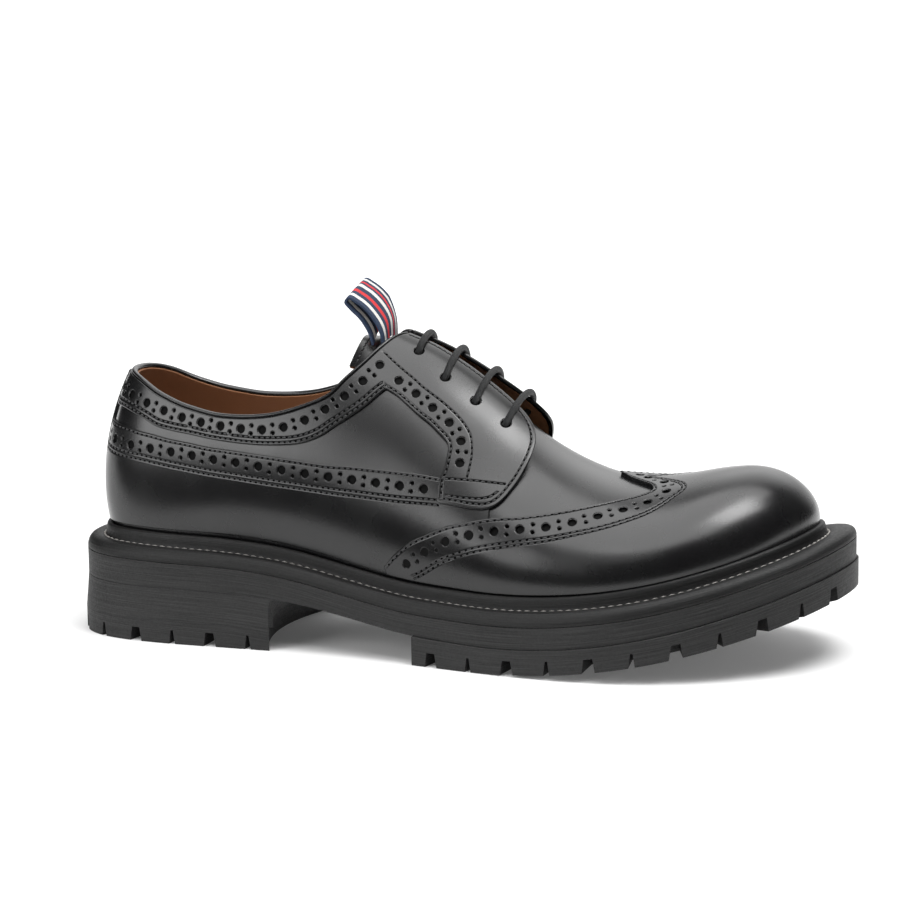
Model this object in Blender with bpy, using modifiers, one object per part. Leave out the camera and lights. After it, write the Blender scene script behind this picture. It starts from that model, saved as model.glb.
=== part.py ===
"""Right-foot brogue derby on a lugged rubber sole, as separate solids.

Sizes are in millimetres in the shoe's own frame: x runs from the back of the heel
to the toe, y from the outer (lateral, negative) to the inner (medial) side, and
z up from the floor. Meshes are written in metres around the middle of the shoe.
"""
from math import pi

import bmesh
import bpy
import numpy as np
from mathutils import Matrix, Vector

MM = 0.001
SHOE_NAME = "brogue_derby"

# Driving sizes
LENGTH = 310.0
MIDDLE_X = 154.75
MIDDLE_Y = -2.7
GAP = 0.3
PANEL_GAP = 0.4
FOXING_GAP = 0.5
WING_GAP = 0.75
BALL_X = 170.0
TOE_SPRING = 27.4
HEEL_LIFT = 9.0
BREAST_X = 89.0
PLATE_BACK_X = 150.0
WALL = 2.0
OVERLAY = 1.2
INSOLE = 3.0
LIP_RISE = 10.2
LACE_DIAMETER = 2.6
FACING = 1.6
TONGUE = 2.4
EYELET_DIAMETER = 3.8
BREAST_BOW = 9.0
PLATE_BOW = 3.0
PLATE_BOW_FADE = 4
OUTSOLE_LEDGE = 0.8
HEEL_FLARE = 1.3
BACK_STRIP = 1.0
BACK_STRIP_HALF = 7.0
BAND_STRIDE = 0.5
FACING_INSET = 0.05
TONGUE_CLEAR = 1.6
LIP_CLEAR = 0.015
LIP_CLEAR_TOE = 0.04
COLUMN_CLEAR = 3.0
GROOVE_OVERRUN = 4.0
TIP_CLEAR = 3.0
PUNCH_LENGTH = 12.8

# Lugs: grooves run in from the edge, wide and narrow by turns
LUG_PITCH = 16.2
LUG_DEPTH = 5.5
LUG_REACH = 15.0
HEEL_FIRST_GROOVE = 18.0
PLATE_FIRST_GROOVE = 178.5
GROOVE_WIDE = (5.2, 3.4)
GROOVE_NARROW = (2.5, 0.9)

# Plan of the sole: distance of each edge from the long axis at each station
HEEL_TIP = (0.0, 0.0)
TOE_TIP = (LENGTH, 2.8)
SOLE_OUTLINE = (
    # x, lateral, medial
    (8.0, 22.2, 21.8),
    (30.0, 33.0, 34.4),
    (70.0, 36.6, 38.0),
    (115.0, 40.1, 36.0),
    (160.0, 49.6, 38.5),
    (200.0, 57.5, 48.0),
    (240.0, 57.7, 53.6),
    (275.0, 45.6, 46.8),
    (300.0, 25.2, 29.8),
)

# Side view of the sole before toe spring: the line under the welt, and the midsole's thickness
SOLE_LINE = (
    # x, welt_z, midsole
    (0.0, 33.0, 10.4),
    (40.0, 32.0, 10.2),
    (75.0, 31.0, 9.8),
    (98.0, 28.4, 9.0),
    (120.0, 24.0, 8.2),
    (145.0, 19.9, 8.2),
    (165.0, 18.9, 8.3),
    (LENGTH, 18.9, 8.3),
)

# Distance from the sole's edge in to the upper, along the length
WELT_REACH = (
    # x, reach
    (0.0, 10.8),
    (40.0, 9.6),
    (110.0, 8.6),
    (200.0, 9.4),
    (270.0, 11.2),
    (LENGTH, 15.8),
)

# The last, from heel to toe: its ridge, and the fullness of sides, crown and bulge
HEEL_FAN_X = 42.0
TOE_FAN_X = 272.0
HEEL_FAN_SOFT = 16.0
TOE_FAN_SOFT = 14.0
LAST_SECTIONS = (
    # x, ridge_y, ridge_z, side_power, crown_power, bulge
    (42.0, 1.0, 119.0, 2.4, 2.0, 2.2),
    (80.0, 1.0, 128.0, 2.4, 2.2, 6.0),
    (110.0, 2.0, 129.0, 2.3, 2.1, 6.0),
    (131.0, 3.0, 121.5, 2.2, 2.0, 5.0),
    (154.0, 4.0, 110.0, 2.1, 1.9, 4.0),
    (172.0, 4.0, 95.0, 2.0, 1.9, 3.5),
    (186.0, 4.0, 82.8, 2.0, 1.9, 3.0),
    (200.0, 1.5, 74.7, 2.0, 2.0, 2.5),
    (215.0, -1.0, 68.7, 2.0, 2.0, 2.0),
    (245.0, -3.0, 66.9, 2.0, 2.0, 1.5),
    (260.0, -2.5, 70.2, 2.1, 2.0, 1.0),
    (272.0, -1.0, 71.5, 2.1, 1.9, 0.5),
)

# Panel lines on the last: along is the distance from the back seam, and rise runs
# from 0 at the welt's lip to 1 on the ridge
HEEL_ROUND = 1.2
HEEL_RUN = 26.0
COLLAR_LINE = (
    # along, rise
    (0.0, 0.585),
    (16.0, 0.580),
    (37.0, 0.547),
    (55.0, 0.478),
    (70.0, 0.417),
    (85.0, 0.370),
    (97.0, 0.360),
    (108.0, 0.372),
    (118.0, 0.405),
    (128.5, 0.470),
    (136.0, 0.560),
    (145.0, 0.735),
    (152.0, 0.825),
    (165.0, 0.830),
    (200.0, 0.830),
)
THROAT_END = 200.0
BAND_EDGES = (
    # step, outer_along, outer_rise, inner_along, inner_rise
    (0, 0.0, 0.585, 0.0, 0.440),
    (1, 16.0, 0.580, 16.0, 0.438),
    (2, 37.0, 0.547, 34.0, 0.427),
    (3, 55.0, 0.478, 50.0, 0.393),
    (4, 70.0, 0.417, 67.0, 0.338),
    (5, 85.0, 0.370, 86.0, 0.290),
    (6, 97.0, 0.360, 98.0, 0.283),
    (7, 108.0, 0.372, 108.5, 0.297),
    (8, 118.0, 0.405, 119.0, 0.303),
    (9, 128.5, 0.470, 129.5, 0.362),
    (10, 136.0, 0.560, 139.0, 0.450),
    (11, 145.0, 0.735, 148.3, 0.580),
    (12, 157.5, 0.680, 160.0, 0.562),
    (13, 169.5, 0.645, 171.6, 0.527),
    (14, 178.5, 0.625, 177.5, 0.512),
    (15, 185.0, 0.580, 179.3, 0.480),
    (16, 187.0, 0.520, 179.0, 0.440),
    (17, 186.6, 0.410, 177.5, 0.370),
    (18, 185.5, 0.300, 177.0, 0.275),
)
FACING_FRONT = (
    # band step beside it, along, rise
    (11.0, 152.8, 0.945),
    (12.0, 163.0, 0.945),
    (13.0, 172.0, 0.925),
    (14.0, 184.0, 0.903),
    (14.7, 194.4, 0.878),
    (15.3, 203.2, 0.825),
    (16.0, 207.4, 0.700),
    (16.7, 206.0, 0.550),
    (17.4, 201.8, 0.425),
    (18.0, 195.0, 0.345),
)
FACING_STAND = (
    # along, stand-off of the facing's front from the vamp
    (145.0, 0.0),
    (160.0, 0.6),
    (172.0, 1.6),
    (182.0, 3.2),
    (193.0, 5.0),
    (204.0, 6.0),
    (215.0, 6.0),
)
STAND_FROM = 0.45
STAND_TO = 0.85
EYELETS = (
    # along, rise
    (159.6, 0.820),
    (171.3, 0.748),
    (183.1, 0.730),
    (194.8, 0.728),
)
FOXING_TOP = (
    # along, rise
    (0.0, 0.330),
    (37.0, 0.328),
    (61.0, 0.300),
    (86.0, 0.253),
    (109.0, 0.233),
    (131.0, 0.250),
    (152.0, 0.300),
    (176.0, 0.366),
)
BACK_STRIP_LINE = (
    # rise, distance out from the upper: down to it between foxing and band
    (LIP_CLEAR, FOXING_GAP + OVERLAY + GAP),
    (0.120, FOXING_GAP + OVERLAY + GAP),
    (0.230, FOXING_GAP + OVERLAY + GAP),
    (0.338, FOXING_GAP + OVERLAY + GAP),
    (0.358, PANEL_GAP),
    (0.412, PANEL_GAP),
    (0.432, PANEL_GAP + OVERLAY + GAP),
    (0.510, PANEL_GAP + OVERLAY + GAP),
    (0.585, PANEL_GAP + OVERLAY + GAP),
)
# The wing tip's edge: across is 0 on the ridge, -1 at the lateral and 1 at the medial lip
WING_LATERAL = (
    # along, across
    (153.0, -0.980),
    (159.0, -0.925),
    (166.0, -0.870),
    (181.0, -0.783),
    (197.0, -0.688),
    (219.0, -0.570),
    (233.0, -0.470),
    (245.0, -0.368),
    (255.0, -0.290),
    (261.0, -0.205),
)
WING_MEDIAL = (
    # along, across
    (153.0, 0.980),
    (159.0, 0.935),
    (168.0, 0.890),
    (185.0, 0.830),
    (202.0, 0.770),
    (219.0, 0.695),
    (233.0, 0.605),
    (245.0, 0.500),
    (255.0, 0.390),
    (261.0, 0.280),
)
WING_POINT_ALONG = 240.0
WING_POINT_ACROSS = 0.030
WING_TOE_ACROSS = 0.22

# Tongue and the tape loop at its top; the loop's path is from its front foot
TONGUE_TOP = 133.0
TONGUE_BEND = 160.0
TONGUE_FOOT = 222.0
TONGUE_TOP_BOW = 5.0
TONGUE_HALF = 0.36
TONGUE_LEAN = 6.0
LOOP_ALONG = 147.0
LOOP_HALF_ACROSS = 0.24
LOOP_TAPE = 0.9
LOOP_FLAT_AT = 12.0
LOOP_TWIST = 0.27
LOOP_SKEW = 0.1
LOOP_PATH = (
    # x, z
    (0.0, 0.0),
    (-0.6, 6.5),
    (-4.4, 12.7),
    (-9.8, 17.2),
    (-13.2, 18.6),
    (-14.2, 17.2),
    (-12.2, 14.6),
    (-7.8, 10.4),
    (-5.0, 5.8),
    (-4.2, 2.6),
)

# Stations along each piece and rows across it
STATIONS = 36
HEEL_STATIONS = 14
PLATE_STATIONS = 22
INSOLE_STATIONS = 24
UPPER_ROWS = 9
SLAB_ROWS = 3
HEEL_ROWS = 7
PLATE_ROWS = 5
BAND_ROWS = 3
FACING_ROWS = 6
FOXING_ROWS = 6
FOXING_FRONT_STEPS = 4
WING_ROWS = 8
WING_MIDDLE_ROWS = 7
WING_POINT_STEPS = 3
TONGUE_COLUMNS = 9
TONGUE_ROWS = 13
BACK_STRIP_COLUMNS = 5
LOOP_COLUMNS = 5
LACE_POINTS = 9
EYELET_SIDES = 10
END_CROWDING = 0.35
HALF_SAMPLES = 900
SPAN_SAMPLES = 90

# Working limits: a zero length, the step of a difference, welded points and a sharp edge
TINY = 1e-9
DIFFERENCE = 0.004
LOWEST_NORMAL = 0.02
WELD = 0.02
SLIVER = 0.001
SHARP_EDGE = pi / 5
# Brings the peak of up * (1 - up) ** 2 to 1
SWELL_PEAK = 27 / 4


def smooth(table, column, x):
    """Smooth curve through one column of a table whose first column is the place."""
    rows = np.asarray(table, float)
    place = rows[:, 0]
    value = rows[:, column]
    slope = np.gradient(value, place)
    x = np.clip(x, place[0], place[-1])
    i = np.clip(np.searchsorted(place, x) - 1, 0, len(place) - 2)
    width = place[i + 1] - place[i]
    t = (x - place[i]) / width
    start = (1 + 2 * t) * (1 - t) ** 2 * value[i] + t * (1 - t) ** 2 * width * slope[i]
    end = t ** 2 * (3 - 2 * t) * value[i + 1] + t ** 2 * (t - 1) * width * slope[i + 1]
    return start + end


def closed_spline(points, samples):
    """Evenly parametrised samples of a closed cubic spline, with each point's sample index."""
    p = np.asarray(points, float)
    n = len(p)
    ring = np.vstack([p, p[:1]])
    step = np.sqrt(np.linalg.norm(np.diff(ring, axis=0), axis=1))
    matrix = np.zeros((n, n))
    pull = np.zeros((n, 2))
    for i in range(n):
        matrix[i, i - 1] += step[i - 1]
        matrix[i, i] += 2 * (step[i - 1] + step[i])
        matrix[i, (i + 1) % n] += step[i]
        pull[i] = 6 * ((ring[i + 1] - p[i]) / step[i] - (p[i] - p[i - 1]) / step[i - 1])
    bend = np.linalg.solve(matrix, pull)
    bend = np.vstack([bend, bend[:1]])
    curve = []
    for i in range(n):
        t = np.linspace(0.0, 1.0, samples, endpoint=False)[:, None]
        h2 = step[i] ** 2 / 6
        curve.append((1 - t) * ring[i] + t * ring[i + 1]
                     + h2 * (((1 - t) ** 3 - (1 - t)) * bend[i] + (t ** 3 - t) * bend[i + 1]))
    return np.vstack(curve), samples * np.arange(n)


def half_outlines():
    """Each side of the sole from heel to toe: places and outward normals, even in length."""
    lateral = [(x, -out) for x, out, _ in SOLE_OUTLINE]
    medial = [(x, out) for x, _, out in reversed(SOLE_OUTLINE)]
    curve, knots = closed_spline([HEEL_TIP] + lateral + [TOE_TIP] + medial, SPAN_SAMPLES)
    toe = knots[len(lateral) + 1]
    ahead = np.roll(curve, -1, axis=0) - np.roll(curve, 1, axis=0)
    ahead /= np.linalg.norm(ahead, axis=1)[:, None]
    normal = np.c_[ahead[:, 1], -ahead[:, 0]]
    both = np.c_[curve, normal]
    sides = (both[:toe + 1], np.vstack([both[toe:], both[:1]])[::-1])
    result = []
    for side in sides:
        run = np.r_[0, np.cumsum(np.linalg.norm(np.diff(side[:, :2], axis=0), axis=1))]
        even = np.linspace(0, run[-1], HALF_SAMPLES)
        result.append(np.c_[[np.interp(even, run, side[:, c]) for c in range(4)]].T)
    return result


HALVES = half_outlines()
HALF_LENGTH = [np.linalg.norm(np.diff(h[:, :2], axis=0), axis=1).sum() for h in HALVES]


def outline(side, u):
    """Plan point and outward normal on one side at u, 0 at the heel and 1 at the toe."""
    grid = np.linspace(0, 1, HALF_SAMPLES)
    values = [np.interp(u, grid, HALVES[side][:, c]) for c in range(4)]
    return np.stack(values[:2], -1), np.stack(values[2:], -1)


def spring(x):
    """Rise of the sole towards the toe."""
    return TOE_SPRING * (np.maximum(x - BALL_X, 0) / (LENGTH - BALL_X)) ** 2


def welt_z(x):
    """Height of the line under the welt."""
    return smooth(SOLE_LINE, 1, x) + spring(x)


def midsole_z(x):
    """Height of the midsole's underside."""
    return welt_z(x) - smooth(SOLE_LINE, 2, x)


def feather(side, u, out=0.0):
    """Plan point of the upper's foot, moved out by a distance."""
    point, normal = outline(side, u)
    reach = smooth(WELT_REACH, 1, point[..., 0])
    return point - normal * (reach - out)[..., None]


def ridge_x(u):
    """Where the section at u meets the ridge, fanned at heel and toe."""
    middle = (feather(0, u)[..., 0] + feather(1, u)[..., 0]) / 2
    past_heel = middle - HEEL_FAN_X
    x = HEEL_FAN_X + (past_heel + np.hypot(past_heel, HEEL_FAN_SOFT)) / 2
    before_toe = TOE_FAN_X - x
    return TOE_FAN_X - (before_toe + np.hypot(before_toe, TOE_FAN_SOFT)) / 2


def last_side(side, u, rise):
    """Point of the last on one side: rise -1 at the foot, 0 at the lip's top, 1 on the ridge."""
    base = feather(side, u)
    foot_z = welt_z(base[..., 0]) + GAP
    lip_z = welt_z(base[..., 0]) + LIP_RISE
    x = ridge_x(u)
    ridge_y, ridge_z, side_power, crown_power, bulge = [
        smooth(LAST_SECTIONS, c, x) for c in range(1, 6)]
    angle = np.clip(rise, 0, 1) * pi / 2
    across = np.cos(angle) ** (2 / side_power)
    up = np.sin(angle) ** (2 / crown_power)
    ridge = np.stack([x, ridge_y], -1)
    reach = base - ridge
    width = np.linalg.norm(reach, axis=-1)
    swell = bulge * SWELL_PEAK * up * (1 - up) ** 2
    plan = ridge + reach * (across + swell / width)[..., None]
    z = np.where(rise < 0, lip_z + (lip_z - foot_z) * np.minimum(rise, 0), lip_z + (ridge_z - lip_z) * up)
    return np.concatenate([plan, z[..., None]], -1)


def last(loop, rise):
    """Point of the last: loop 0 at the heel, 1 at the toe, 2 at the heel again by the medial side."""
    loop, rise = np.broadcast_arrays(np.asarray(loop, float), np.asarray(rise, float))
    over = rise > 1
    loop = np.mod(np.where(over, 2 - loop, loop), 2)
    rise = np.where(over, 2 - rise, rise)
    lateral = last_side(0, np.clip(loop, 0, 1), rise)
    medial = last_side(1, np.clip(2 - loop, 0, 1), rise)
    return np.where((loop <= 1)[..., None], lateral, medial)


def last_normal(loop, rise):
    """Outward normal of the last, by small differences."""
    rise = np.clip(rise, LOWEST_NORMAL, 1.0)
    along = last(loop + DIFFERENCE, rise) - last(loop - DIFFERENCE, rise)
    up = last(loop, rise + DIFFERENCE) - last(loop, rise - DIFFERENCE)
    normal = np.cross(along, up)
    length = np.linalg.norm(normal, axis=-1)[..., None]
    upright = np.broadcast_to((0.0, 0.0, 1.0), normal.shape)
    return np.where(length > TINY, normal / np.maximum(length, TINY), upright)


def upper_point(loop, rise, out=0.0):
    """Point at a distance out from the last's surface."""
    point = last(loop, rise)
    normal = last_normal(loop, rise)
    flat = normal * (1, 1, 0)
    flat /= np.maximum(np.linalg.norm(flat, axis=-1)[..., None], TINY)
    normal = np.where((np.asarray(rise) < 0)[..., None], flat, normal)
    return point + normal * np.asarray(out)[..., None]


def skin(u, across, out=0.0):
    """Point over the last: u from heel to toe, across from -1 (lateral lip) to 1 (medial lip)."""
    u, across = np.broadcast_arrays(np.asarray(u, float), np.asarray(across, float))
    return upper_point(np.where(across <= 0, u, 2 - u), 1 - np.abs(across), out)


def facing_stand(along, rise):
    """How far the facing's front stands off the vamp."""
    ramp = np.clip((rise - STAND_FROM) / (STAND_TO - STAND_FROM), 0, 1)
    return smooth(FACING_STAND, 1, along) * ramp * ramp * (3 - 2 * ramp)


def stations(start, end, count):
    """Places along the shoe, closer together at its two ends."""
    even = np.linspace(0, 1, 2001)
    crowded = even - END_CROWDING * np.sin(2 * pi * even) / (2 * pi)
    first, last_one = np.interp([start, end], crowded, even)
    return np.interp(np.linspace(first, last_one, count), even, crowded)


# Mesh helpers

def place(points):
    """Shoe millimetres to metres around the middle of the shoe."""
    return (np.asarray(points, float) - (MIDDLE_X, MIDDLE_Y, 0.0)) * MM


def material(name, colour, roughness, metallic=0.0):
    """One Principled material."""
    made = bpy.data.materials.new(name)
    made.use_nodes = True
    shader = made.node_tree.nodes["Principled BSDF"]
    shader.inputs["Base Color"].default_value = (*colour, 1.0)
    shader.inputs["Roughness"].default_value = roughness
    shader.inputs["Metallic"].default_value = metallic
    return made


def add_object(name, mesh, collection, finish=None):
    """Object for a mesh, shaded smooth with its sharp edges kept."""
    part = bpy.data.objects.new(name, mesh)
    collection.objects.link(part)
    if finish:
        mesh.materials.append(finish)
        mesh.shade_smooth()
        mesh.set_sharp_from_angle(angle=SHARP_EDGE)
    return part


def grid_mesh(name, grids, closed=False, outward=None):
    """Mesh over one or more grids of points, welded where they meet."""
    bm = bmesh.new()
    for grid in grids:
        points = place(grid)
        verts = [[bm.verts.new(p) for p in row] for row in points]
        for i in range(len(verts) - 1):
            for j in range(len(verts[0]) - 1):
                bm.faces.new((verts[i][j], verts[i + 1][j], verts[i + 1][j + 1], verts[i][j + 1]))
    bmesh.ops.remove_doubles(bm, verts=bm.verts, dist=WELD * MM)
    bmesh.ops.dissolve_degenerate(bm, edges=bm.edges, dist=SLIVER * MM)
    bmesh.ops.recalc_face_normals(bm, faces=bm.faces)
    if not closed:
        core = place(outward)
        lean = sum((f.calc_center_median().x - core[0]) * f.normal.x * f.calc_area()
                   + (f.calc_center_median().y - core[1]) * f.normal.y * f.calc_area()
                   + (f.calc_center_median().z - core[2]) * f.normal.z * f.calc_area() for f in bm.faces)
        if lean < 0:
            bmesh.ops.reverse_faces(bm, faces=bm.faces)
    mesh = bpy.data.meshes.new(name)
    bm.to_mesh(mesh)
    bm.free()
    return mesh


def shell(name, grids, thickness, collection, finish, core, grow=1.0):
    """Sheet over the grids, thickened outwards (grow 1) or inwards (grow -1)."""
    part = add_object(name, grid_mesh(name, grids, outward=core), collection, finish)
    thicken = part.modifiers.new("wall", "SOLIDIFY")
    thicken.thickness = thickness * MM
    thicken.offset = grow
    thicken.use_even_offset = True
    return part


def sheet(sides, rows, height, bow):
    """Grid over a plan that is given by its two edges, at a height worked out from x."""
    across = np.linspace(0, 1, rows)[None, :, None]
    plan = sides[0][:, None, :] * (1 - across) + sides[1][:, None, :] * across
    plan[..., 0] -= bow[:, None] * (1 - (2 * across[..., 0] - 1) ** 2)
    return np.dstack([plan, height(plan[..., 0])])


def slab(name, sides, rows, top, bottom, collection, finish, bow=None, low_sides=None):
    """Block between two heights; its lower plan may be wider than its upper one."""
    bow = np.zeros(len(sides[0])) if bow is None else bow
    upper = sheet(sides, rows, top, bow)
    lower = sheet(low_sides or sides, rows, bottom, bow)
    around = [np.stack([upper[:, 0], lower[:, 0]], 1), np.stack([upper[:, -1], lower[:, -1]], 1),
              np.stack([upper[0], lower[0]], 1), np.stack([upper[-1], lower[-1]], 1)]
    return add_object(name, grid_mesh(name, [upper, lower] + around, closed=True), collection, finish)


def cut(part, cutter):
    """Take the cutter out of the part."""
    knife = part.modifiers.new("cut", "BOOLEAN")
    knife.operation = "DIFFERENCE"
    knife.solver = "EXACT"
    knife.object = cutter
    cutter.hide_render = True
    cutter.display_type = "WIRE"


# Pieces of the sole

def run_to(side, x):
    """Place u on one side of the outline where it passes x."""
    return np.interp(x, HALVES[side][:, 0], np.linspace(0, 1, HALF_SAMPLES))


def edges(start_x, end_x, count, out=0.0):
    """The two edges of the sole between two stations."""
    result = []
    for side in (0, 1):
        point, normal = outline(side, stations(run_to(side, start_x), run_to(side, end_x), count))
        result.append(point + normal * out)
    return result


def groove_box(bm, side, u, width, depth, reach):
    """One tapered groove, from outside the sole's edge inwards, along its underside."""
    point, normal = outline(side, np.array(u))
    ahead = np.array([-normal[1], normal[0]])
    for vert in bmesh.ops.create_cube(bm, size=2.0)["verts"]:
        inward = vert.co.x < 0
        top = vert.co.z > 0
        spot = point + normal * (-reach if inward else GROOVE_OVERRUN)
        half = (width[1] if top else 2 * width[0] - width[1]) / 2
        spot = spot + ahead * half * vert.co.y
        vert.co = place((*spot, spring(spot[0]) + (depth if top else -depth)))


def lug_cutter(name, first, end, collection):
    """All the grooves of one lugged piece, both sides."""
    bm = bmesh.new()
    for side in (0, 1):
        run = first
        wide = True
        while run < end:
            groove_box(bm, side, run / HALF_LENGTH[side], GROOVE_WIDE if wide else GROOVE_NARROW,
                       LUG_DEPTH, LUG_REACH)
            run += LUG_PITCH
            wide = not wide
    bmesh.ops.recalc_face_normals(bm, faces=bm.faces)
    mesh = bpy.data.meshes.new(name)
    bm.to_mesh(mesh)
    bm.free()
    return add_object(name, mesh, collection)


def make_heel(parts, cutters, rubber):
    """Heel block under the midsole and the lugged lift under it, both with a hollow breast."""
    bow = BREAST_BOW * np.linspace(0, 1, HEEL_STATIONS) ** 2
    flared = edges(0.0, BREAST_X, HEEL_STATIONS, HEEL_FLARE)
    slab("heel_block", edges(0.0, BREAST_X, HEEL_STATIONS), HEEL_ROWS, lambda x: midsole_z(x) - GAP,
         lambda x: np.full_like(x, HEEL_LIFT + GAP), parts, rubber, bow, flared)
    lift = slab("heel_lift", flared, HEEL_ROWS, lambda x: np.full_like(x, HEEL_LIFT),
                np.zeros_like, parts, rubber, bow)
    breast_run = run_to(0, BREAST_X) * HALF_LENGTH[0]
    cut(lift, lug_cutter("heel_grooves", HEEL_FIRST_GROOVE, breast_run - LUG_PITCH / 2, cutters))


def make_outsole(parts, cutters, rubber):
    """Lugged plate under the forefoot."""
    sides = edges(PLATE_BACK_X, LENGTH, PLATE_STATIONS, OUTSOLE_LEDGE)
    bow = -PLATE_BOW * np.linspace(1, 0, PLATE_STATIONS) ** PLATE_BOW_FADE
    plate = slab("outsole", sides, PLATE_ROWS, lambda x: midsole_z(x) - GAP, spring, parts, rubber, bow)
    cut(plate, lug_cutter("plate_grooves", PLATE_FIRST_GROOVE, HALF_LENGTH[1] - TIP_CLEAR, cutters))


def make_midsole(parts, rubber):
    """Slab from heel to toe that follows waist and toe spring."""
    slab("midsole", edges(0.0, LENGTH, STATIONS), SLAB_ROWS, lambda x: welt_z(x) - GAP, midsole_z,
         parts, rubber)


def make_insole(parts, tan):
    """Board that closes the upper underneath."""
    u = stations(0, 1, INSOLE_STATIONS)
    inset = -(WALL + 2 * GAP)
    slab("insole", (feather(0, u, inset), feather(1, u, inset)), SLAB_ROWS,
         lambda x: welt_z(x) + GAP + INSOLE, lambda x: welt_z(x) + GAP, parts, tan)


def make_welt(parts, rubber):
    """Ring round the upper: storm lip, stitch groove, ledge and rounded edge."""
    profile = (
        # share of the reach, height
        (0.0, 0.0),
        (0.0, LIP_RISE - 0.3),
        (0.12, LIP_RISE),
        (0.23, LIP_RISE - 0.9),
        (0.30, 4.8),
        (0.60, 5.3),
        (0.84, 4.4),
        (0.95, 2.6),
        (1.0, 0.0),
        (0.0, 0.0),
    )
    grids = []
    u = stations(0, 1, STATIONS)
    for side in (0, 1):
        point, normal = outline(side, u)
        reach = smooth(WELT_REACH, 1, point[:, 0]) - GAP
        rows = []
        for share, height in profile:
            plan = point - normal * (reach * (1 - share))[:, None]
            rows.append(np.c_[plan, welt_z(plan[:, 0]) + height])
        grids.append(np.stack(rows, 1))
    add_object("welt", grid_mesh("welt", grids, closed=True), parts, rubber)


# Pieces of the upper

CORE = (150.0, 0.0, 45.0)


def along_u(along):
    """Place u at a distance from the back seam; the edge runs a little further round the heel."""
    along = np.asarray(along, float)
    return (along + HEEL_ROUND * np.clip(along / HEEL_RUN, -1, 1)) / HALF_LENGTH[0]


def u_along(u):
    """Distance from the back seam at the place u."""
    run = u * HALF_LENGTH[0]
    return run - HEEL_ROUND * np.clip(run / (HEEL_RUN + HEEL_ROUND), -1, 1)


UPPER_ALONG = u_along(stations(0, 1, STATIONS))


def opening_rise(u):
    """Where the upper ends: the collar and throat behind, the ridge in front."""
    along = u_along(u)
    return np.where(along <= THROAT_END, smooth(COLLAR_LINE, 1, along), 1.0)


def make_upper(parts, leather):
    """Hollow leather shell, open at collar and throat and underneath."""
    u = stations(0, 1, STATIONS)
    up = np.linspace(0, 1, UPPER_ROWS)
    grids = []
    for side in (0, 1):
        loop = u if side == 0 else 2 - u
        rise = np.c_[np.full_like(u, -1.0), opening_rise(u)[:, None] * up]
        grids.append(upper_point(loop[:, None], rise, np.zeros_like(rise)))
    shell("upper", grids, WALL, parts, leather, CORE, grow=-1.0)


def strip_grid(first, second, side, rows, inset=0.0):
    """Grid between two lines of along and rise, on one side of the shoe."""
    share = np.linspace(inset, 1, rows)[None, :]
    along = first[0][:, None] * (1 - share) + second[0][:, None] * share
    rise = first[1][:, None] * (1 - share) + second[1][:, None] * share
    u = along_u(along)
    out = PANEL_GAP + facing_stand(along, rise)
    return upper_point(u if side == 0 else 2 - u, rise, out)


def band_lines(steps):
    """Outer and inner edge of the band at steps of its table."""
    columns = [smooth(BAND_EDGES, column, steps) for column in range(1, 5)]
    return columns[:2], columns[2:]


def make_band(parts, leather):
    """Punched band round the collar and down behind both facings."""
    steps = np.arange(0, BAND_EDGES[-1][0] + BAND_STRIDE / 2, BAND_STRIDE)
    outer, inner = band_lines(steps)
    grids = [strip_grid(outer, inner, side, BAND_ROWS) for side in (0, 1)]
    shell("collar_band", grids, OVERLAY, parts, leather, CORE)


def eyelet_cutter(name, side, collection):
    """Punches for one facing's eyelets, square to its surface."""
    bm = bmesh.new()
    for along, rise in EYELETS:
        loop = along_u(along) if side == 0 else 2 - along_u(along)
        out = PANEL_GAP + facing_stand(np.array(along), np.array(rise))
        middle = Vector(place(upper_point(loop, np.array(rise), out)))
        ahead = Vector(place(upper_point(loop, np.array(rise), out + 1.0))) - middle
        turn = Matrix.Translation(middle) @ ahead.to_track_quat("Z", "Y").to_matrix().to_4x4()
        radius = EYELET_DIAMETER / 2 * MM
        bmesh.ops.create_cone(bm, cap_ends=True, segments=EYELET_SIDES, radius1=radius, radius2=radius,
                              depth=PUNCH_LENGTH * MM, matrix=turn)
    mesh = bpy.data.meshes.new(name)
    bm.to_mesh(mesh)
    bm.free()
    return add_object(name, mesh, collection)


def make_facings(parts, cutters, leather):
    """Quarter fronts with their eyelets."""
    steps = np.arange(FACING_FRONT[0][0], FACING_FRONT[-1][0] + BAND_STRIDE / 2, BAND_STRIDE)
    rear = band_lines(steps)[0]
    front = [smooth(FACING_FRONT, column, steps) for column in (1, 2)]
    for side, name in ((0, "facing_lateral"), (1, "facing_medial")):
        grid = strip_grid(rear, front, side, FACING_ROWS, FACING_INSET)
        facing = shell(name, [grid], FACING, parts, leather, CORE)
        cut(facing, eyelet_cutter(name + "_eyelets", side, cutters))


def make_foxing(parts, leather):
    """Counter and lower quarter under the punched strip, round the heel."""
    own = UPPER_ALONG[UPPER_ALONG < WING_LATERAL[0][0] - COLUMN_CLEAR]
    along = np.r_[own, np.linspace(WING_LATERAL[0][0], FOXING_TOP[-1][0], FOXING_FRONT_STEPS)]
    wing = np.interp(along, [row[0] for row in WING_LATERAL], [1 + row[1] for row in WING_LATERAL], left=0)
    low = np.maximum(wing + LIP_CLEAR, LIP_CLEAR)
    rise = low[:, None] + (smooth(FOXING_TOP, 1, along) - low)[:, None] * np.linspace(0, 1, FOXING_ROWS)
    u = along_u(along)[:, None]
    grids = [upper_point(loop, rise, np.full_like(rise, FOXING_GAP)) for loop in (u, 2 - u)]
    shell("foxing", grids, OVERLAY, parts, leather, CORE)


def wing_strip(along, start, end, rows):
    """Grid over the toe between two lines given as across values."""
    across = start[:, None] + (end - start)[:, None] * np.linspace(0, 1, rows)
    return skin(along_u(along)[:, None], across, np.full_like(across, WING_GAP))


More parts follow.
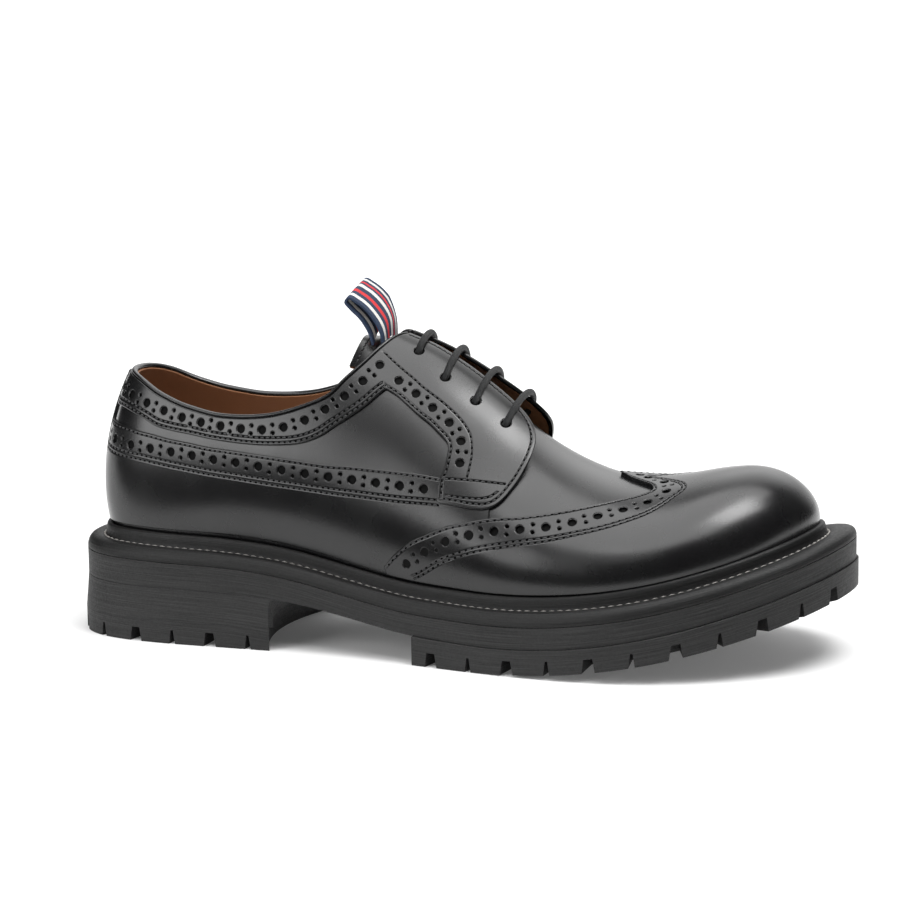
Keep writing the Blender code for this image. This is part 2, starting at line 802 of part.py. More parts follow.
def make_wing(parts, leather):
    """Wing tip: two side wings, the middle point, and the toe in front of them."""
    toe_along = u_along(1.0)
    dip = WING_LATERAL[-1][0]
    start = WING_LATERAL[0][0]
    near = np.abs(UPPER_ALONG - dip) < COLUMN_CLEAR
    own = UPPER_ALONG[(UPPER_ALONG > start + COLUMN_CLEAR) & ~near]
    along = np.sort(np.r_[start, WING_LATERAL[1][0], dip, own])
    fade = np.clip((along - dip) / (toe_along - dip), 0, 1)
    lateral = np.where(along <= dip, smooth(WING_LATERAL, 1, along),
                       WING_LATERAL[-1][1] * (1 - fade) - WING_TOE_ACROSS * fade)
    medial = np.where(along <= dip, smooth(WING_MEDIAL, 1, along),
                      WING_MEDIAL[-1][1] * (1 - fade) + WING_TOE_ACROSS * fade)
    lip = 1 - LIP_CLEAR - (LIP_CLEAR_TOE - LIP_CLEAR) * fade
    point = np.linspace(WING_POINT_ALONG, dip, WING_POINT_STEPS, endpoint=False)
    share = (point - WING_POINT_ALONG) / (dip - WING_POINT_ALONG)
    point_lateral = WING_POINT_ACROSS * (1 - share) + WING_LATERAL[-1][1] * share
    point_medial = WING_POINT_ACROSS * (1 - share) + WING_MEDIAL[-1][1] * share
    toe = along >= dip
    grids = [
        wing_strip(along, -lip, lateral, WING_ROWS),
        wing_strip(along, lip, medial, WING_ROWS),
        wing_strip(np.r_[point, along[toe]], np.r_[point_lateral, lateral[toe]],
                   np.r_[point_medial, medial[toe]], WING_MIDDLE_ROWS),
    ]
    shell("wing_cap", grids, OVERLAY, parts, leather, CORE)


def make_back_strip(parts, leather):
    """Narrow strip up the back seam, over foxing and band."""
    table = np.asarray(BACK_STRIP_LINE, float)
    loop = along_u(np.linspace(-BACK_STRIP_HALF, BACK_STRIP_HALF, BACK_STRIP_COLUMNS))[:, None]
    loop, rise = np.broadcast_arrays(loop, table[None, :, 0])
    out = np.broadcast_to(table[None, :, 1], rise.shape)
    shell("back_strip", [upper_point(loop, rise, out)], BACK_STRIP, parts, leather, CORE)


def tongue_point(along, across, out=0.0):
    """Point over the tongue's outer face, which leans in towards its top."""
    lean = TONGUE_LEAN * np.clip((TONGUE_BEND - along) / (TONGUE_BEND - TONGUE_TOP), 0, 1) ** 2
    depth = WALL + TONGUE_CLEAR + lean
    return skin(along_u(along), across, out - depth)


def make_tongue(parts, leather):
    """Tongue from inside the vamp to above the facings."""
    across = np.linspace(-TONGUE_HALF, TONGUE_HALF, TONGUE_COLUMNS)[None, :]
    top = TONGUE_TOP + TONGUE_TOP_BOW * (1 - (across / TONGUE_HALF) ** 2)
    along = top + (TONGUE_FOOT - top) * np.linspace(0, 1, TONGUE_ROWS)[:, None]
    along, across = np.broadcast_arrays(along, across)
    shell("tongue", [tongue_point(along, across)], TONGUE, parts, leather, CORE, grow=-1.0)


def make_laces(parts, cord):
    """Straight bars of the lace over the gap between the facings."""
    for number, (along, rise) in enumerate(EYELETS, 1):
        across = np.linspace(rise - 1, 1 - rise, LACE_POINTS)
        over = FACING + 2 * GAP + LACE_DIAMETER / 2 + facing_stand(along, 1 - np.abs(across))
        points = place(skin(along_u(along), across, over))
        curve = bpy.data.curves.new(f"lace_bar_{number}", "CURVE")
        curve.dimensions = "3D"
        curve.bevel_depth = LACE_DIAMETER / 2 * MM
        curve.bevel_resolution = 1
        curve.use_fill_caps = True
        spline = curve.splines.new("POLY")
        spline.points.add(len(points) - 1)
        for spot, target in zip(spline.points, points):
            spot.co = (*target, 1.0)
        curve.materials.append(cord)
        parts.objects.link(bpy.data.objects.new(curve.name, curve))


def make_pull_loop(parts, tape):
    """Tape folded over at the top of the tongue."""
    path = np.asarray(LOOP_PATH, float)
    across = np.linspace(-1, 1, LOOP_COLUMNS) * LOOP_HALF_ACROSS
    base = tongue_point(LOOP_ALONG, across, GAP + LOOP_TAPE)
    flat = np.clip(path[:, 1] / LOOP_FLAT_AT, 0, 1)[:, None]
    crown = base[:, 2].max()
    y = np.broadcast_to(base[None, :, 1], (len(path), len(across)))
    x = base[None, :, 0] + path[:, 0:1] + LOOP_SKEW * flat * (y - y.mean())
    z = base[None, :, 2] + (crown - base[None, :, 2]) * flat + path[:, 1:2]
    z = z + LOOP_TWIST * flat * (y - y.mean())
    shell("pull_loop", [np.dstack([x, y, z])], LOOP_TAPE, parts, tape, (0.0, 0.0, 0.0), grow=0.0)


def main():
    """Build every piece in its own collection."""
    for old in list(bpy.data.objects):
        bpy.data.objects.remove(old, do_unlink=True)
    parts = bpy.data.collections.new(SHOE_NAME)
    cutters = bpy.data.collections.new(SHOE_NAME + "_cutters")
    bpy.context.scene.collection.children.link(parts)
    bpy.context.scene.collection.children.link(cutters)
    leather = material("black_leather", (0.016, 0.016, 0.017), 0.32)
    rubber = material("black_rubber", (0.022, 0.022, 0.023), 0.62)
    tan = material("tan_lining", (0.42, 0.23, 0.11), 0.6)
    cord = material("charcoal_cord", (0.03, 0.03, 0.032), 0.7)
    tape = material("navy_tape", (0.03, 0.05, 0.11), 0.8)
    make_heel(parts, cutters, rubber)
    make_outsole(parts, cutters, rubber)
    make_midsole(parts, rubber)
    make_welt(parts, rubber)
    make_insole(parts, tan)
    make_upper(parts, leather)
    make_foxing(parts, leather)
    make_wing(parts, leather)
    make_band(parts, leather)
    make_facings(parts, cutters, leather)
    make_back_strip(parts, leather)
    make_tongue(parts, leather)
    make_laces(parts, cord)
    make_pull_loop(parts, tape)


main()
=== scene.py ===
"""Looks of the right-foot brogue derby: leather, rubber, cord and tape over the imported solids.

Sizes are in millimetres in the shoe's own frame, as in the part's source: x from the back of
the heel to the toe, y from the outer (lateral, negative) to the inner (medial) side, z up.
"""
from math import cos, pi, radians, sin

import bmesh
import bpy
import numpy as np
from mathutils import Matrix, Vector
from mathutils.geometry import delaunay_2d_cdt
from mathutils.kdtree import KDTree


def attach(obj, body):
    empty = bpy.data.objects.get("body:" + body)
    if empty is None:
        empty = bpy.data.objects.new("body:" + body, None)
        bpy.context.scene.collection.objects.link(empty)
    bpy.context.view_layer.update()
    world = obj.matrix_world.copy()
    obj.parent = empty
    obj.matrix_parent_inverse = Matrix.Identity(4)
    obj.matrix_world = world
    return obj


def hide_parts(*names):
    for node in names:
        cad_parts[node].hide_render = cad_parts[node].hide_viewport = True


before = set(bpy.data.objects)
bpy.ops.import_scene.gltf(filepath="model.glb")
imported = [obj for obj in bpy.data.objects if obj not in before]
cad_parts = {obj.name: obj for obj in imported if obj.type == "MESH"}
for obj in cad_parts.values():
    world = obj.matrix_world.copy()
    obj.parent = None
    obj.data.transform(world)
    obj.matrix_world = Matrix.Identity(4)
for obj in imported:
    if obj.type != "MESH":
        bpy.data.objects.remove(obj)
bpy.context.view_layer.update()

MM = 0.001
LENGTH = 310.0
MIDDLE = (154.75, -2.7, 0.0)
GAP = 0.3
BALL_X = 170.0
TOE_SPRING = 27.4
HEEL_LIFT = 9.0
BREAST_X = 89.0
BREAST_BOW = 9.0
PLATE_BACK_X = 150.0
PLATE_BOW = 3.0
OUTSOLE_LEDGE = 0.8
HEEL_FLARE = 1.3
WALL = 2.0
INSOLE = 3.0
LIP_RISE = 10.2
LACE_DIAMETER = 2.7
EYELET_DIAMETER = 3.8
TONGUE = 2.4
LINING_HOLE = 0.6 * EYELET_DIAMETER

# Lugs: grooves run in from the edge, wide and narrow by turns
LUG_PITCH = 16.2
LUG_DEPTH = 5.5
LUG_REACH = 15.0
HEEL_FIRST_GROOVE = 18.0
PLATE_FIRST_GROOVE = 178.5
GROOVE_WIDE = (5.2, 3.4)
GROOVE_NARROW = (2.5, 0.9)
GROOVE_OVERRUN = 4.0
TIP_CLEAR = 3.0

HEEL_TIP = (0.0, 0.0)
TOE_TIP = (LENGTH, 2.8)
SOLE_OUTLINE = (
    # x, lateral, medial
    (8.0, 22.2, 21.8), (30.0, 33.0, 34.4), (70.0, 36.6, 38.0),
    (115.0, 40.1, 36.0), (160.0, 49.6, 38.5), (200.0, 57.5, 48.0),
    (240.0, 57.7, 53.6), (275.0, 45.6, 46.8), (300.0, 25.2, 29.8),
)
SOLE_LINE = (
    # x, welt_z, midsole
    (0.0, 33.0, 10.4), (40.0, 32.0, 10.2), (75.0, 31.0, 9.8), (98.0, 28.4, 9.0),
    (120.0, 24.0, 8.2), (145.0, 19.9, 8.2), (165.0, 18.9, 8.3), (LENGTH, 18.9, 8.3),
)
WELT_REACH = (
    # x, reach
    (0.0, 10.8), (40.0, 9.6), (110.0, 8.6), (200.0, 9.4), (270.0, 11.2), (LENGTH, 15.8),
)
HEEL_FAN_X = 42.0
TOE_FAN_X = 272.0
HEEL_FAN_SOFT = 16.0
TOE_FAN_SOFT = 14.0
LAST_SECTIONS = (
    # x, ridge_y, ridge_z, side_power, crown_power, bulge
    (42.0, 1.0, 119.0, 2.4, 2.0, 2.2), (80.0, 1.0, 128.0, 2.4, 2.2, 6.0),
    (110.0, 2.0, 129.0, 2.3, 2.1, 6.0), (131.0, 3.0, 121.5, 2.2, 2.0, 5.0),
    (154.0, 4.0, 110.0, 2.1, 1.9, 4.0), (172.0, 4.0, 95.0, 2.0, 1.9, 3.5),
    (186.0, 4.0, 82.8, 2.0, 1.9, 3.0), (200.0, 1.5, 74.7, 2.0, 2.0, 2.5),
    (215.0, -1.0, 68.7, 2.0, 2.0, 2.0), (245.0, -3.0, 66.9, 2.0, 2.0, 1.5),
    (260.0, -2.5, 70.2, 2.1, 2.0, 1.0), (272.0, -1.0, 71.5, 2.1, 1.9, 0.5),
)
SECTION_SOFT = 5.0
REACH_SOFT = 10.0
SWELL_PEAK = 27 / 4
HEEL_ROUND = 1.2
HEEL_RUN = 26.0

# Panel lines on the last: along is the distance from the back seam, rise is 0 at the lip
# and 1 on the ridge
COLLAR = ((0.0, 0.585), (16.0, 0.580), (37.0, 0.547), (55.0, 0.478), (70.0, 0.417), (85.0, 0.370),
          (97.0, 0.360), (108.0, 0.372), (118.0, 0.405), (129.0, 0.470), (134.0, 0.537),
          (140.0, 0.628), (146.0, 0.758), (149.5, 0.858), (152.8, 0.945))
BAND_LOW = ((0.0, 0.436), (16.0, 0.434), (33.6, 0.425), (41.7, 0.408), (48.0, 0.390), (55.7, 0.362),
            (62.5, 0.346), (70.6, 0.328), (83.3, 0.297), (95.0, 0.281), (102.2, 0.279), (109.5, 0.284),
            (116.7, 0.296), (122.1, 0.315), (127.1, 0.343), (131.1, 0.375), (136.6, 0.422),
            (140.6, 0.460), (143.8, 0.495), (146.9, 0.537), (150.1, 0.580))
BAND_BACK = ((150.6, 0.585), (156.0, 0.578), (160.0, 0.565), (165.9, 0.547), (170.0, 0.540),
             (174.0, 0.527), (176.3, 0.520), (178.1, 0.510), (179.0, 0.487), (179.0, 0.460),
             (178.8, 0.425), (178.1, 0.390), (177.2, 0.365))
BAND_HOLES = ((0.0, 0.505), (16.0, 0.502), (38.1, 0.467), (57.0, 0.415), (75.0, 0.357), (94.0, 0.320),
              (103.0, 0.318), (111.7, 0.332), (119.8, 0.363), (128.0, 0.416), (135.2, 0.482),
              (141.5, 0.562), (146.9, 0.657), (148.0, 0.682))
BACK_HOLES = ((155.1, 0.628), (162.3, 0.610), (169.5, 0.590), (176.7, 0.573), (182.6, 0.530),
              (183.3, 0.470), (182.6, 0.412))
FACING_SEAM = ((147.0, 0.728), (151.9, 0.700), (156.4, 0.680), (160.5, 0.665), (164.1, 0.650),
               (168.2, 0.640), (172.2, 0.633), (175.8, 0.625), (179.5, 0.615), (182.6, 0.600),
               (184.9, 0.580), (186.2, 0.550), (187.1, 0.500), (187.1, 0.470), (186.9, 0.438),
               (186.7, 0.417))
FACING_FRONT = ((153.5, 0.947), (163.0, 0.945), (172.0, 0.925), (184.0, 0.903), (190.0, 0.889),
                (194.4, 0.876), (198.9, 0.853), (202.0, 0.830), (204.8, 0.797), (207.0, 0.753),
                (207.9, 0.690), (207.5, 0.615), (206.1, 0.540), (203.8, 0.470), (201.6, 0.418),
                (198.9, 0.377), (195.3, 0.345), (189.8, 0.320), (183.1, 0.302), (176.7, 0.285))
TAB_BACK = ((176.0, 0.290), (176.0, 0.362))
FACING_STAND = (
    # along, stand-off of the facing's front from the vamp
    (145.0, 0.0), (160.0, 0.6), (172.0, 1.6), (182.0, 3.2), (193.0, 5.0), (204.0, 6.0), (215.0, 6.0),
)
STAND_FROM = 0.45
STAND_TO = 0.85
MEDIAL_SHORT = 3.5
SHORT_FROM = 184.0
SHORT_OVER = 16.0
TAB_LIFT_FROM = 152.0
TAB_LIFT_OVER = 20.0
TAB_ROWS = (((177.7, 0.370), (187.6, 0.415), (193.9, 0.448), (201.6, 0.490)),
            ((177.6, 0.303), (177.5, 0.362)),
            ((179.5, 0.322), (187.0, 0.346), (193.2, 0.375), (196.8, 0.404), (199.2, 0.440)))
FRONT_ROW_INSET = 1.9
EYELETS = ((159.6, 0.820), (171.3, 0.748), (183.1, 0.730), (194.8, 0.728))
FOXING_TOP = ((0.0, 0.348), (13.8, 0.348), (30.0, 0.343), (37.2, 0.338), (46.2, 0.325), (52.5, 0.317),
              (61.0, 0.300), (71.1, 0.280), (79.2, 0.261), (87.3, 0.248), (98.6, 0.237), (106.3, 0.234),
              (117.1, 0.236), (130.7, 0.251), (139.7, 0.272), (147.8, 0.291), (156.4, 0.312),
              (165.5, 0.334), (172.2, 0.350), (177.0, 0.362))
STRIP_HOLES = ((0.0, 0.306), (22.0, 0.304), (37.6, 0.288), (53.4, 0.275), (62.9, 0.263), (73.3, 0.245),
               (83.3, 0.226), (93.6, 0.215), (103.6, 0.208), (112.6, 0.208), (121.2, 0.213), (130.7, 0.225),
               (139.7, 0.242), (150.1, 0.264), (159.6, 0.285), (170.0, 0.309))
STRIP_LOW = ((0.0, 0.256), (19.4, 0.255), (36.7, 0.243), (47.6, 0.236), (58.9, 0.221), (66.5, 0.208),
             (85.1, 0.176), (98.6, 0.164), (106.7, 0.162), (117.1, 0.166), (132.0, 0.183), (145.1, 0.208),
             (160.5, 0.240), (176.3, 0.279))
WING_LATERAL = ((154.0, 0.030), (158.7, 0.075), (165.9, 0.130), (173.6, 0.173), (180.8, 0.215),
                (188.0, 0.253), (196.6, 0.302), (202.0, 0.333), (210.2, 0.372), (217.8, 0.413),
                (225.5, 0.463), (232.8, 0.520), (240.4, 0.583), (248.1, 0.645), (255.8, 0.705),
                (260.8, 0.770), (259.6, 0.840), (251.5, 0.922), (245.8, 0.965), (241.5, 1.000))
WING_ROW = ((166.0, 0.020), (170.9, 0.047), (177.2, 0.088), (188.9, 0.150), (196.2, 0.188),
            (207.5, 0.238), (221.5, 0.292), (235.5, 0.370), (250.8, 0.463), (263.0, 0.555),
            (270.7, 0.665), (274.8, 0.755), (273.0, 0.838), (266.2, 0.922), (260.0, 0.970),
            (254.0, 1.000))
WING_HOLES = ((162.3, 0.058), (171.8, 0.120), (180.4, 0.173), (191.2, 0.230), (200.7, 0.280),
              (210.6, 0.323), (220.6, 0.365), (230.5, 0.427), (240.4, 0.503), (249.5, 0.568),
              (258.5, 0.633), (265.3, 0.713), (266.4, 0.800), (261.2, 0.912), (254.5, 0.965),
              (249.0, 1.000))
FOXING_FRONT = ((177.0, 0.373), (196.2, 0.390), (197.6, 0.300))
FOXING_END = 199.5
MEDIAL_DROP = 0.5
LOW_RISE = 0.012
LOW_POINTS = 300
TOE_POINTS = 500
WING_TAPER = 8.0

# Rows of holes: two marks along the row and the number of pitches between them
BAND_MARKS = (47.1, 128.0, 9)
BACK_MARKS = (155.1, 176.7, 3)
STRIP_MARKS = (73.3, 170.0, 10)
WING_MARKS = (180.4, 240.4, 6)
HOLE_SLACK = 0.01

# Tongue and the tape loop at its top; the loop's path is from its front foot
TONGUE_TOP = 133.0
TONGUE_TOP_BOW = 5.0
TONGUE_BEND = 160.0
TONGUE_FOOT = 222.0
TONGUE_HALF = 0.36
TONGUE_LEAN = 6.0
TONGUE_CLEAR = 1.6
TONGUE_COLUMNS = 45
TONGUE_ROWS = 90
TONGUE_LAYERS = (0.0, 0.55, 0.57, 1.0)
TONGUE_ROW_POINTS = 60
TONGUE_ROW_HALF = 0.93 * TONGUE_HALF
TONGUE_ROW_IN = 2.6
TONGUE_ROW_OUT = 0.15
LOOP_ALONG = 147.0
LOOP_HALF_ACROSS = 0.24
LOOP_TAPE = 0.9
LOOP_FLAT_AT = 12.0
LOOP_TWIST = 0.27
LOOP_SKEW = 0.1
LOOP_COLUMNS = 33
LOOP_GAP = 0.8
LOOP_PATH = ((0.0, 0.0), (-0.6, 6.5), (-4.4, 12.7), (-9.8, 17.2), (-13.2, 18.6), (-14.2, 17.2),
             (-12.2, 14.6), (-7.8, 10.4), (-5.0, 5.8), (-4.2, 2.6))

# Lace: shares of the reach from the eyelet in, and lift over the facing
LACE_BEND = (1.0, 1.0, 0.93, 0.8)
LACE_LIFT = (-3.0, -0.4, 0.95, 1.35, 1.4, 1.4)
LACE_PAST = 0.01
LACE_GAP = 0.5
LACE_SIDES = 18

# Leather work
CLEAR = 0.05
LEATHER_OUT = 0.1
LEATHER = 1.3
LINING = 0.45
LINING_INSET = 1.3
PANEL_TOP = 1.35
FOXING_TOP_OUT = 1.25
FOXING_SINK = 0.4
WING_TOP_OUT = 1.75
TAB_LIFT = 0.55
EDGE_DROP = 0.42
FLOOR_OUT = 0.3
EYELET_SUNK = 0.02
SINK_FROM = 150.0
SINK_OVER = 40.0
BIG_HOLE = 1.65
HOLE_EDGE = 0.4
SMALL_HOLE = 0.72
PAIR_SPREAD = 1.55
STITCH_PITCH = 2.3
WING_STITCH = 2.7
STITCH_SHARE = 0.72
STITCH_DEPTH = 0.3
STITCH_SUNK = 0.14
STITCH_RADIUS = 0.3
PIT_RADIUS = 0.5
ROW_SPACING = 1.85
EDGE_OUT = 1.1
COLLAR_INSET = 0.9
WING_ROW_SPACING = 1.45

# Panel meshes: steps are distance from the line and height, and for rows the share of their depth
EDGE_GAP = 0.7
EDGE_STEPS = ((0.16, -0.12), (0.5, 0.0))
EDGE_KEEP = 0.93
HOLE_STEPS = ((0.14, -0.12), (0.42, 0.0))
HOLE_DROP = 0.5
HOLE_SIDES = 18
PINHOLE_SIDES = 10
ROW_STEPS = ((0.0, 1.0), (0.38, 0.45), (-0.38, 0.45), (0.8, 0.0), (-0.8, 0.0))
ROW_CLEAR = 0.62
FILL_CLEAR = 1.0
FILL_GAP = 2.2
WING_FILL_GAP = 2.4
WING_FILL_RISE = 0.03
WING_FILL_TOP = 1.98
ARC_POINTS = 25
PANEL_TINY = 1e-4
FLOOR_SPREAD = 1.2
FLOOR_SIDES = 14
ASKEW = (0.3, 0.2, 1.0)
CAPSULE = (
    # share of the length, share of the radius, lift in radii
    (-0.5, 0.35, -0.6), (-0.36, 0.9, -0.1), (0.0, 1.0, 0.25), (0.36, 0.9, -0.1), (0.5, 0.35, -0.6),
)

# Shell
UPPER_TOP = (
    # along, rise
    (0.0, 0.580), (16.0, 0.575), (37.0, 0.542), (55.0, 0.473), (70.0, 0.412), (85.0, 0.365),
    (97.0, 0.355), (108.0, 0.367), (118.0, 0.400), (128.5, 0.465), (136.0, 0.555), (145.0, 0.730),
    (152.0, 0.822), (165.0, 0.830), (210.0, 0.830),
)
THROAT_CLOSE = 190.0
THROAT_END = 204.0
UPPER_COLUMNS = 260
UPPER_ROWS = 44
FOOT_ROW = -0.4
SHARP = 50
BEAD_GAP = 1.0
BEAD_SUNK = 0.1
BEAD_RADIUS = 1.25
BEAD_SIDES = 16
BEAD_FLAT = 0.72
BACK_STRIP_HALF = 7.0
BACK_STRIP_RISE = (0.015, 0.565)
BACK_STRIP_POINTS = 120
BACK_STRIP_TOP = 0.75
BACK_ROW_SHARE = 0.72

# Sole: the rounded edge's steps are inset and drop in radii
ROUND_EDGE = ((1.0, 0.0), (0.3, 0.1), (0.0, 0.5))
SIDE_LEVELS = (0.1, 0.9, 5)
MIDSOLE_EDGE = 0.25
HEEL_EDGE = 0.08
PLATE_EDGE = 0.5
INSOLE_INSET = 0.8
INSOLE_BEVEL = 0.6
BOW_POINTS = 26
CAP_GAP = 5.0
CAP_CLEAR = 2.5
CAP_TINY = 1e-5
SOLE_SHARP = 28
SOLE_COLUMNS = 260
WELT_PROFILE = (
    # share of the reach, height
    (0.0, 0.0), (0.0, 9.3), (0.03, 9.9), (0.08, 10.2), (0.14, 10.2), (0.19, 9.9),
    (0.225, 9.2), (0.245, 8.0), (0.262, 6.4), (0.285, 5.2), (0.31, 4.75), (0.335, 4.75),
    (0.36, 5.0), (0.40, 5.25), (0.50, 5.4), (0.62, 5.35), (0.74, 5.0), (0.84, 4.4),
    (0.91, 3.6), (0.96, 2.6), (0.99, 1.4), (1.0, 0.6), (0.99, 0.2), (0.96, 0.0),
)
WELT_ROW_SHARE = 0.33
WELT_ROW_HEIGHT = 4.85
WELT_STITCH = 3.3
WELT_STITCH_SHARE = 0.86
WELT_STITCH_RADIUS = 0.5
WELT_AIM = 0.8

# Tape: its lines are placed by their share of its width
NAVY = (0.012, 0.026, 0.060)
OFF_WHITE = (0.62, 0.61, 0.58)
RED = (0.52, 0.02, 0.025)
TAPE_LINES = ((0.14, OFF_WHITE), (0.32, RED), (0.5, OFF_WHITE), (0.68, RED), (0.86, OFF_WHITE))
TAPE_LINE = 0.085
TAPE_ROUGH = 0.8
WEAVE_SCALE = (20.0, 0.5, 1.0)
WEAVE_BUMP = 0.5
WEAVE_DEPTH = 0.12
WEAVE_BEND = 0.3

# Finishes: scales are per metre, or per unit of the map for streaks, plait and weave
BLACK = (0.0055, 0.0055, 0.0058)
TAN = (0.24, 0.105, 0.047)
NOISE_SPAN = (0.3, 0.7)
NOISE_DETAIL = 4.0
GRAIN_SCALE = 1700.0
GRAIN_DEPTH = 0.05
PORE_SCALE = 900.0
PORE_DEPTH = 0.10
GLOSS_SCALE = 60.0
COAT_ROUGH = 0.22
STREAK_SCALE = (0.035, 2.6, 1.0)
STREAK_DETAIL = 5.0
STREAK_DEPTH = 0.25
SPECK_SCALE = 1100.0
SPECK_BUMP = 0.4
SPECK_DEPTH = 0.2
CORD_ROUGH = 0.55
PLAIT_TURN = (0.0, 0.0, 0.7)
PLAIT_SCALE = (1.4, 1.4, 1.0)
PLAIT_DEPTH = 0.45

# Stage, in metres, but for the camera's aim; the front strip of the floor doesn't show in the gloss
WHITE = (1.0, 1.0, 1.0, 1.0)
PALE = (0.8, 0.8, 0.8)
FLOOR_ROUGH = 0.9
# The floor glows, least round SHADOW_X under the shoe and more with distance: painted light that whitens the
# far floor and lightens the shadow under the shoe, more towards the toe than at the waist.
FLOOR_GLOW = (0.06, 1.1)
GLOW_SPAN = (0.08, 1.5)
FLOOR_REACH = 30.0
FLOOR_SPLIT = -0.122
SHADOW_X = -0.08
CAMERA_SENSOR = 36.0
CAMERA_LENS = 123.5
CAMERA_SHIFT = (3.0 / 900, 37.0 / 900)
CAMERA_FAR = 100.0
CAMERA_TURN = (17.5, 10.68, -0.99)
CAMERA_AIM = (150.0, 0.0, 60.0)
CAMERA_DISTANCE = 1.205
LIGHTS = (
    # name, place, target, size, power
    ("overhead", (0.06, -0.25, 1.2), (0.06, -0.25, 0.0), (1.4, 1.4), 21.3),
    ("right_top", (0.56, -0.19, 1.13), (0.1, 0.0, 0.05), (0.5, 0.5), 6.8),
    ("left", (-0.80, -0.86, 0.45), (-0.08, 0.0, 0.08), (0.84, 0.6), 7.0),
)
SKY_DIM = 0.004
SKY_LOBES = (
    # direction, cosine where it starts, cosine where it is full, strength
    ((0.0, 0.707, 0.707), 0.87, 0.98, 1.05),
    ((0.0, 0.940, 0.342), 0.75, 0.92, 1.05),
    ((-0.165, -0.662, 0.731), 0.95, 0.995, 1.0),
)

FINE = 0.25
STEP = 0.002
HALF_SAMPLES = 3000
SPAN_SAMPLES = 200
RISE_MM = 100.0
TINY = 1e-9
WELD = 0.01
WEAK = 1e-3
NORMAL_LOW = 0.02
STEEP = 0.9


def curve(table, soft=0.0):
    """Function for the columns of a table after its first, the place; soft rounds off their bends."""
    rows = np.asarray(table, float)
    place = rows[:, 0]
    value = rows[:, 1:]
    slope = np.gradient(value, place, axis=0)
    fine = np.linspace(place[0], place[-1], int((place[-1] - place[0]) / FINE) + 2)
    i = np.clip(np.searchsorted(place, fine) - 1, 0, len(place) - 2)
    width = (place[i + 1] - place[i])[:, None]
    t = (fine - place[i])[:, None] / width
    made = ((1 + 2 * t) * (1 - t) ** 2 * value[i] + t * (1 - t) ** 2 * width * slope[i]
            + t ** 2 * (3 - 2 * t) * value[i + 1] + t ** 2 * (t - 1) * width * slope[i + 1])
    if soft:
        reach = int(3 * soft / FINE)
        kernel = np.exp(-0.5 * (np.arange(-reach, reach + 1) * FINE / soft) ** 2)
        padded = np.pad(made, ((reach, reach), (0, 0)), mode="reflect", reflect_type="odd")
        made = np.stack([np.convolve(column, kernel / kernel.sum(), "valid") for column in padded.T], 1)
    return lambda x: [np.interp(x, fine, column) for column in made.T]


def closed_spline(points, samples):
    """Samples of a closed cubic spline, with each point's sample index."""
    p = np.asarray(points, float)
    n = len(p)
    ring = np.vstack([p, p[:1]])
    step = np.sqrt(np.linalg.norm(np.diff(ring, axis=0), axis=1))
    matrix = np.zeros((n, n))
    pull = np.zeros((n, 2))
    for i in range(n):
        matrix[i, i - 1] += step[i - 1]
        matrix[i, i] += 2 * (step[i - 1] + step[i])
        matrix[i, (i + 1) % n] += step[i]
        pull[i] = 6 * ((ring[i + 1] - p[i]) / step[i] - (p[i] - p[i - 1]) / step[i - 1])
    bend = np.linalg.solve(matrix, pull)
    bend = np.vstack([bend, bend[:1]])
    spans = []
    for i in range(n):
        t = np.linspace(0.0, 1.0, samples, endpoint=False)[:, None]
        weight = step[i] ** 2 / 6
        spans.append((1 - t) * ring[i] + t * ring[i + 1]
                     + weight * (((1 - t) ** 3 - (1 - t)) * bend[i] + (t ** 3 - t) * bend[i + 1]))
    return np.vstack(spans), samples * np.arange(n)


def length_of(points):
    """Running length along points."""
    return np.r_[0, np.cumsum(np.linalg.norm(np.diff(points, axis=0), axis=1))]


def half_outlines():
    """Each side of the sole from heel to toe: places and outward normals, even in length."""
    lateral = [(x, -out) for x, out, _ in SOLE_OUTLINE]
    medial = [(x, out) for x, _, out in reversed(SOLE_OUTLINE)]
    points, knots = closed_spline([HEEL_TIP] + lateral + [TOE_TIP] + medial, SPAN_SAMPLES)
    toe = knots[len(lateral) + 1]
    ahead = np.roll(points, -1, axis=0) - np.roll(points, 1, axis=0)
    ahead /= np.linalg.norm(ahead, axis=1)[:, None]
    both = np.c_[points, ahead[:, 1], -ahead[:, 0]]
    result = []
    for side in (both[:toe + 1], np.vstack([both[toe:], both[:1]])[::-1]):
        run = length_of(side[:, :2])
        even = np.linspace(0, run[-1], HALF_SAMPLES)
        result.append(np.c_[[np.interp(even, run, side[:, c]) for c in range(4)]].T)
    return result


HALVES = half_outlines()
HALF_LENGTH = [np.linalg.norm(np.diff(h[:, :2], axis=0), axis=1).sum() for h in HALVES]
sole_line = curve(SOLE_LINE, SECTION_SOFT)
welt_reach = curve(WELT_REACH, REACH_SOFT)
last_sections = curve(LAST_SECTIONS, SECTION_SOFT)
facing_stand_off = curve(FACING_STAND)
upper_top = curve(UPPER_TOP)


def outline(side, u):
    """Plan point and outward normal on one side at u, 0 at the heel and 1 at the toe."""
    grid = np.linspace(0, 1, HALF_SAMPLES)
    values = [np.interp(u, grid, HALVES[side][:, c]) for c in range(4)]
    return np.stack(values[:2], -1), np.stack(values[2:], -1)


def spring(x):
    """Rise of the sole towards the toe."""
    return TOE_SPRING * (np.maximum(x - BALL_X, 0) / (LENGTH - BALL_X)) ** 2


def welt_z(x):
    """Height of the line under the welt."""
    return sole_line(x)[0] + spring(x)


def midsole_z(x):
    """Height of the midsole's underside."""
    return welt_z(x) - sole_line(x)[1]


def feather(side, u, out=0.0):
    """Plan point of the upper's foot, moved out by a distance."""
    point, normal = outline(side, u)
    reach = welt_reach(point[..., 0])[0]
    return point - normal * (reach - out)[..., None]


